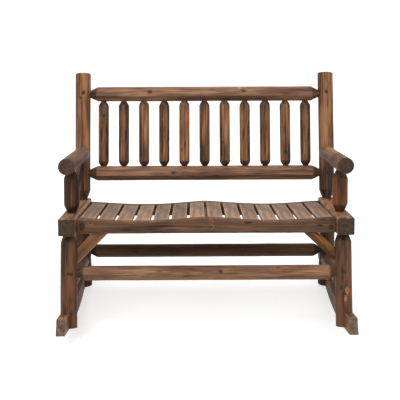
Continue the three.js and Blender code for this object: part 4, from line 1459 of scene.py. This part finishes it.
@dataclass
class Seat:
    """Aprons, slats, bearers and joist; the seat's surface follows two scoops."""

    half: float = 0.486
    pivot: float = 0.0495
    hump_rise: float = 0.0025
    scoop_depth: float = 0.013
    scoop_power: float = 1.25
    scoop_reach: float = 0.8  # how far down the scoops move an apron, as a share of its height
    end_drop: float = 0.0045
    slats: int = 14
    slat_end_gap: float = 0.0085
    slat_gap: float = 0.0107
    slat_thickness: float = 0.015
    sample_seed: float = 2.2  # of the sample slat's own unevenness
    slat_seed: int = 5
    slat_fineness: float = 14.0  # of the noise that makes them uneven
    unevenness: float = 0.0012
    back_lip: float = 0.003
    hole: ScrewHole = ScrewHole(0.0045, 0.0025)
    screw_places: tuple[tuple[float, float], ...] = (
        (-0.4686, -0.0374), (0.4681, -0.0413), (0.0172, -0.0402))
    # how dark the slats' side walls are: painted shade of the narrow gaps, given as scorch
    slat_side_scorch: float = 0.9
    slat_shades: tuple[float, ...] = (-0.03, -0.07, 0.0, 0.07, -0.08, -0.13, 0.08, 0.0, 0.05, -0.04, 0.09,
                                      0.02, 0.0, 0.0)

    def build(self, yard: WoodYard) -> list[Vector]:
        """Builds the seat.

        Args:
            yard: dresses the pieces.
        Returns:
            Where screws sit in the front apron's holes.
        """
        deck = seat_frame(self.pivot)
        surface = self.surface_group()
        seats = self.apron(yard, deck, surface, "front_apron", 0.0, self.screw_places)
        self.apron(yard, deck, surface, "back_apron", self.back_lip, ())
        self.slat_row(yard, deck, surface)
        for node in ("seat_bearer_front", "seat_bearer_back"):
            yard.dress_node(node, Wood.BOARD, Heading.APRON)
        yard.lay_board("seat_centre_joist", Heading.JOIST, Board(ease=0.002), Wood.SLAT, (0.03, 0.04, 0.0))
        return seats

    def sizes(self) -> list[Socket]:
        """The inputs that all of the seat's trees share."""
        return [("Half Width", "Float", self.half), ("Hump Rise", "Float", self.hump_rise),
                ("Scoop Depth", "Float", self.scoop_depth), ("Scoop Power", "Float", self.scoop_power),
                ("End Drop", "Float", self.end_drop)]

    def surface_group(self) -> Tree:
        """The height of the scooped surface at a place across the seat, as a node group."""
        g, wires, out = node_group("GeometryNodeTree", "seat_surface",
                                   [("Across", "Float", 0.0), *self.sizes()], [("Height", "Float")])
        share = g.math("DIVIDE", g.math("ABSOLUTE", wires["Across"]), wires["Half Width"])
        wave = g.math("POWER", g.math("SINE", g.times(share, math.pi)), wires["Scoop Power"])
        hump = g.times(g.minus(1.0, g.times(share, share)), wires["Hump Rise"])
        height = g.minus(g.minus(hump, wires["End Drop"]), g.times(wave, wires["Scoop Depth"]))
        g.put(out, {"Height": height})
        return g.tree

    def surface(self, g: Graph, group: Tree, across: Wire, wires: Any) -> Wire:
        """Places the surface group in a tree that has its sizes as inputs."""
        values = {"Across": across} | {name: wires[name] for name, _, _ in self.sizes()}
        return g.node("GeometryNodeGroup", values, node_tree=group).outputs[0]

    def apron(self, yard: WoodYard, deck: Matrix, group: Tree, node: str, lip: float,
              screws: Sequence[tuple[float, float]]) -> list[Vector]:
        """Builds an apron: a straight board whose upper part a node tree moves onto the scoops.

        Args:
            yard: dresses it.
            deck: the seat's frame.
            group: the seat surface.
            node: the CAD node that it stands for.
            lip: how far it stands above the slats.
            screws: places of its screws, across and up the deck.
        Returns:
            Where the screws sit.
        """
        low, high = node_box(node, deck)
        base, lot = low.z, yard.lot()
        outer = 1 if lip else 2  # the top corner that faces outwards
        board = Board(ease=0.0022, spacing=0.008, waver=0.0006, wear=0.4, rounded=(outer, 0.006))
        mesh = board.shape(-base, high.y - low.y, high.x - low.x, lot).mesh(f"{node}_board")
        turn = Matrix(Way.ACROSS.value).to_4x4()
        mesh.transform(Matrix.Translation((low.x, (low.y + high.y) / 2, base / 2)) @ turn)
        obj = add_object(f"{node}_board", mesh)
        g, wires, out = node_group("GeometryNodeTree", f"{node}_scoops", [
            ("Geometry", "Geometry", None), *self.sizes(), ("Bottom", "Float", base), ("Lip", "Float", lip),
            ("Material", "Material", None),
        ], [("Geometry", "Geometry")])
        split = g.position()
        foot = g.times(wires["Bottom"], self.scoop_reach)
        weight = g.node("ShaderNodeMapRange", {0: split[2], 1: foot, 2: 0.0})
        rise = g.plus(self.surface(g, group, split[0], wires), wires["Lip"])
        lift = g.combine(z=g.times(rise, weight.outputs[0]))
        moved = g.node("GeometryNodeSetPosition", {"Geometry": wires["Geometry"], "Offset": lift})
        g.put(out, {"Geometry": g.dressed(moved.outputs[0], wires["Material"])})
        run_tree(obj, g.tree, {"Material": yard.materials[Wood.BOARD]})
        holes = [self.hole.cut(f"{node}_hole_{k}", Vector((x, low.y, z)), Vector((0, 1, 0)))
                 for k, (x, z) in enumerate(screws)]
        carve(obj, [tool for tool, _ in holes])
        frame = Matrix.Translation((0, low.y, base)) @ turn
        stamp(obj.data, frame.inverted(), Vector((0.012, 0.05, 0)), lot)
        obj.data.transform(deck)
        yard.dress(obj, Wood.BOARD, [node])
        return [deck @ seat for _, seat in holes]

    def slat(self, width: float, front: float, back: float) -> Mesh:
        """One slat, lying on the seat's frame from front to back, its sides darkened with painted shade of
        the gaps.
        """
        board = Board(ease=0.0022, spacing=0.01, waver=0.0006)
        shape = board.shape(width, self.slat_thickness, back - front, self.sample_seed)
        for ring, marks in zip(shape.rings, shape.marks):
            for k, (x, y, _) in enumerate(ring):
                # the side walls, below the top edges, darkened as scorch: painted shade of the gaps between
                # slats
                if abs(x) > 0.47 * width and y > -0.3 * self.slat_thickness:
                    marks[k] = (0.0, self.slat_side_scorch, marks[k][2])
        mesh = shape.mesh("one_slat")
        stamp(mesh, Matrix.Identity(4), Vector((0.012, 0.035, 0)), 0.0)
        middle = Matrix.Translation((0, front, -self.slat_thickness / 2))
        mesh.transform(middle @ Matrix(Way.BACK.value).to_4x4())
        return mesh

    def slat_row(self, yard: WoodYard, deck: Matrix, group: Tree) -> None:
        """Lays the slats across the scoops with a geometry node tree.

        Args:
            yard: dresses them.
            deck: the seat's frame.
            group: the seat surface.
        """
        pitch = (2 * (self.half - self.slat_end_gap) + self.slat_gap) / self.slats
        width = pitch - self.slat_gap
        low, high = node_box("slat_01", deck)
        row = SampleRow("slats", [*SampleRow.varied, ("Pitch", "Float", 0.1),
                                  ("Slat Width", "Float", 0.05), *self.sizes()])
        g, wires = row.g, row.wires
        start = g.times(g.minus(wires["Count"], 1.0), g.times(wires["Pitch"], -0.5))
        line = g.node("GeometryNodeMeshLine", {
            "Count": wires["Count"], "Start Location": g.combine(start), "Offset": g.combine(wires["Pitch"]),
        }, mode="OFFSET").outputs[0]
        x = g.position()[0]
        half = g.times(wires["Slat Width"], 0.5)
        left, right = (self.surface(g, group, edge, wires) for edge in (g.minus(x, half), g.plus(x, half)))
        lift = g.combine(z=g.times(g.plus(left, right), 0.5))
        seated = g.node("GeometryNodeSetPosition", {"Geometry": line, "Offset": lift}).outputs[0]
        slope = g.math("ARCTAN2", g.minus(right, left), wires["Slat Width"])
        turn = g.node("FunctionNodeEulerToRotation", {0: g.combine(y=g.times(slope, -1.0))}).outputs[0]
        values = {"Count": self.slats, "Pitch": pitch, "Slat Width": width, "Seed": self.slat_seed,
                  "Unevenness": self.unevenness, "Material": yard.materials[Wood.SLAT]}
        obj = row.run(row.vary(row.copies(seated, turn), self.slat_fineness),
                      self.slat(width, low.y, high.y), values)
        shade_row(obj.data, self.slat_shades)
        obj.data.transform(deck)
        yard.dress(obj, Wood.SLAT, [f"slat_{k:02d}" for k in range(1, self.slats + 1)])


# Rungs between the side frames


@dataclass
class Rungs:
    """The two long stretchers between the legs."""

    front: Log = Log.even(0.0278, LogEnd(0.014, 0.026, 0.016, scorch=0.8, swell=1.1), flats=((-60, 0.97),))
    front_shade: float = 0.12
    back: Log = Log.even(0.0278, LogEnd(0.014, 0.026, 0.016, scorch=0.9), flats=((-100, 0.94), (-40, 0.96)))

    def build(self, yard: WoodYard) -> None:
        """Builds both stretchers."""
        yard.lay_log("front_stretcher", Heading.FRONT_RUNG, self.front, Wood.RAIL, (),
                     ((0.0, self.front_shade),))
        yard.lay_log("back_stretcher", Heading.BACK_RUNG, self.back, Wood.DARK)


# Fasteners


@dataclass(frozen=True)
class MetalFinish:
    """Zinc plated steel, dulled and a little stained."""

    name: str = "screw_zinc"
    slot: str = "bolt_metal"
    clean: Colour = linear(104, 96, 86)
    stained: Colour = linear(52, 40, 31)
    metallic: float = 0.9
    rough: float = 0.35  # where it is clean; stains are twice as rough

    def material(self) -> bpy.types.Material:
        """Builds the finish."""
        made = bpy.data.materials.new(self.name)
        g = cleared(made)
        place = g.node("ShaderNodeTexCoord").outputs["Object"]
        stain = g.ramp(g.cloud(place, (400.0, 400.0, 400.0), 1.0), 0.38, 0.56)
        shader = g.node("ShaderNodeBsdfPrincipled", {
            "Base Color": g.mix(stain, self.clean, self.stained), "Metallic": self.metallic,
            "Roughness": g.plus(self.rough, g.times(stain, self.rough)),
        })
        g.node("ShaderNodeOutputMaterial", {0: shader.outputs[0]})
        return made


@dataclass
class Fasteners:
    """Screws in the holes of the front, and the bolts through the rockers."""

    screw_radius: float = 0.0042
    screw_profile: tuple[tuple[float, float], ...] = (  # shares of its radius, and heights
        (1.0, -0.0005), (1.0, 0.0008), (0.8, 0.0013), (0.45, 0.0013), (0.4, 0.0002))
    bolt_radius: float = 0.01
    bolt_height: float = 0.006
    shank_radius: float = 0.004
    shank_length: float = 0.0443
    finish: MetalFinish = MetalFinish()

    def build(self, seats: Sequence[Vector], facings: Sequence[Vector]) -> None:
        """Sets the screws and the bolts.

        Args:
            seats: the middle of each screw hole's floor.
            facings: the way that each screw faces.
        """
        metal = self.finish.material()
        screw = [(self.screw_radius * share, z) for share, z in self.screw_profile]
        self.set_heads("screws", screw, seats, facings, metal, ())
        r, h = self.bolt_radius, self.bolt_height
        angles = [math.pi / 12 * k for k in range(6)]
        dome = [(r * math.cos(a), h * (0.35 + 0.65 * math.sin(a))) for a in angles]
        bolt = [(self.shank_radius, -self.shank_length), (self.shank_radius, 0.0), (r, 0.0), *dome]
        seats, facings, nodes = [], [], []
        for side, sign in (("left", -1), ("right", 1)):
            for end in ("front", "back"):
                node = f"rocker_bolt_{end}_{side}"
                low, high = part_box(node)
                outer = high.x if sign > 0 else low.x
                seats.append(Vector((outer - sign * h, (low.y + high.y) / 2, (low.z + high.z) / 2)))
                facings.append(Vector((sign, 0, 0)))
                nodes.append(node)
        self.set_heads("rocker_bolts", bolt, seats, facings, metal, nodes)

    def set_heads(self, name: str, profile: Sequence[tuple[float, float]], seats: Sequence[Vector],
                  facings: Sequence[Vector], metal: bpy.types.Material, nodes: Sequence[str]) -> None:
        """Sets a turned head at each seat with a geometry node tree.

        Args:
            name: the piece's name.
            profile: the head's radius and height pairs along its axis.
            seats: where each copy sits.
            facings: the way that each copy faces.
            metal: its material.
            nodes: the CAD nodes that the copies replace.
        """
        row = SampleRow(name, [("Geometry", "Geometry", None), ("Scale", "Float", 1.0)])
        facing = row.g.node("GeometryNodeInputNamedAttribute", {"Name": "facing"},
                            data_type="FLOAT_VECTOR").outputs[0]
        turn = row.g.node("FunctionNodeAlignRotationToVector", {"Vector": facing}, axis="Z").outputs[0]
        points = bpy.data.meshes.new(name)
        points.from_pydata([tuple(seat) for seat in seats], [], [])
        store(points, "facing", np.array([tuple(facing) for facing in facings]))
        copies = row.copies(row.wires["Geometry"], turn, Scale=row.wires["Scale"])
        sample = turned(profile, around=24).mesh(f"one_{name}")
        obj = row.run(copies, sample, {"Scale": 1.0, "Material": metal}, points)
        hand_over(obj, metal, nodes)


# The studio


@dataclass(frozen=True)
class Lamp:
    """A square soft lamp."""

    name: str
    place: Point
    target: Point
    size: float  # of its side, in metres
    power: float  # in watts

    def light(self) -> None:
        """Puts the lamp into the scene."""
        data = bpy.data.lights.new(self.name, "AREA")
        data.size, data.energy = self.size, self.power
        aim = (Vector(self.target) - Vector(self.place)).to_track_quat("-Z", "Y").to_matrix().to_4x4()
        add_object(self.name, data).matrix_world = Matrix.Translation(self.place) @ aim


@dataclass
class Studio:
    """Camera, soft lights, white surroundings and a pale floor."""

    camera_place: Point = (-0.0402, -3.6837, 1.6242)
    pitch: float = 15.34  # degrees down
    yaw: float = 0.29
    roll: float = 0.19
    lens: float = 86.87
    shift: float = -0.1
    sensor: float = 36.0
    sight: float = 100.0  # how far the camera sees
    floor_half: float = 30.0
    floor_glow: float = 0.62
    floor_greys: tuple[float, float] = (0.75, 0.42)  # to the eye, and to the bench
    sky: tuple[float, float] = (0.28, 0.62)  # its glow low down and overhead
    lamps: tuple[Lamp, ...] = (
        Lamp("key", (-1.6, -3.2, 3.6), (0, 0.1, 0.45), 2.6, 95.0),
        Lamp("fill", (2.6, -2.6, 1.8), (0, 0, 0.45), 2.4, 30.0),
        Lamp("top", (0.2, 0.6, 3.6), (0, 0.05, 0.45), 2.2, 55.0))

    def build(self) -> None:
        """Sets up everything around the bench."""
        self.set_camera()
        self.set_floor()
        self.set_world()
        for lamp in self.lamps:
            lamp.light()
        bpy.context.scene.view_settings.view_transform = "Standard"

    def set_camera(self) -> None:
        """Sets the camera where the photograph was taken from."""
        data = bpy.data.cameras.new("view")
        data.lens, data.sensor_width, data.shift_y = self.lens, self.sensor, self.shift
        data.clip_end = self.sight
        camera = add_object("view", data)
        turn = (Matrix.Rotation(math.radians(-self.yaw), 4, "Z")
                @ Matrix.Rotation(math.radians(90 - self.pitch), 4, "X")
                @ Matrix.Rotation(math.radians(-self.roll), 4, "Z"))
        camera.matrix_world = Matrix.Translation(self.camera_place) @ turn
        bpy.context.scene.camera = camera

    def set_floor(self) -> None:
        """Lays a floor that looks white, keeps the bench's shadow and lights it little."""
        h = self.floor_half
        mesh = bpy.data.meshes.new("floor")
        mesh.from_pydata([(-h, -h, 0), (h, -h, 0), (h, h, 0), (-h, h, 0)], [], [(0, 1, 2, 3)])
        floor = add_object("floor", mesh)
        made = bpy.data.materials.new("floor_white")
        g = cleared(made)
        glow = g.node("ShaderNodeEmission", {"Color": WHITE, "Strength": self.floor_glow}).outputs[0]
        matt, dull = (g.node("ShaderNodeBsdfDiffuse", {"Color": (grey, grey, grey)}).outputs[0]
                      for grey in self.floor_greys)
        seen = g.node("ShaderNodeAddShader", {0: glow, 1: matt}).outputs[0]
        both = g.node("ShaderNodeMixShader", {0: g.to_eye(), 1: dull, 2: seen}).outputs[0]
        g.node("ShaderNodeOutputMaterial", {0: both})
        mesh.materials.append(made)
        floor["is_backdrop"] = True

    def set_world(self) -> None:
        """Makes the surroundings white to the eye, and a soft sky to the bench."""
        world = bpy.data.worlds.new("surroundings")
        bpy.context.scene.world = world
        g = cleared(world)
        way = g.node("ShaderNodeSeparateXYZ", {0: g.node("ShaderNodeTexCoord").outputs["Generated"]})
        strength = g.math("MAXIMUM", g.ramp(way.outputs[2], -0.1, 0.9, *self.sky), g.to_eye())
        glow = g.node("ShaderNodeBackground", {"Color": WHITE, "Strength": strength})
        g.node("ShaderNodeOutputWorld", {0: glow.outputs[0]})


def main() -> None:
    """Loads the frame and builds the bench's looks around it."""
    logging.basicConfig(level=logging.INFO, format="%(name)s %(message)s")
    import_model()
    frame_box = [list(corner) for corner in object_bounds()]
    Studio().build()
    yard = WoodYard()
    post_seats = Back().build(yard)
    leg_seats = SideFrames().build(yard)
    apron_seats = Seat().build(yard)
    Rungs().build(yard)
    facings = [Heading.POST] * len(post_seats) + [Heading.FRONT_LEG] * len(leg_seats)
    facings += [Heading.ARM_POST] * len(apron_seats)
    outward = [heading.turn() @ Vector((0, -1, 0)) for heading in facings]
    Fasteners().build(post_seats + leg_seats + apron_seats, outward)
    look_box = [list(corner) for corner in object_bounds()]
    LOG.info("frame %s, looks %s", frame_box, look_box)


if __name__ == "__main__":
    main()
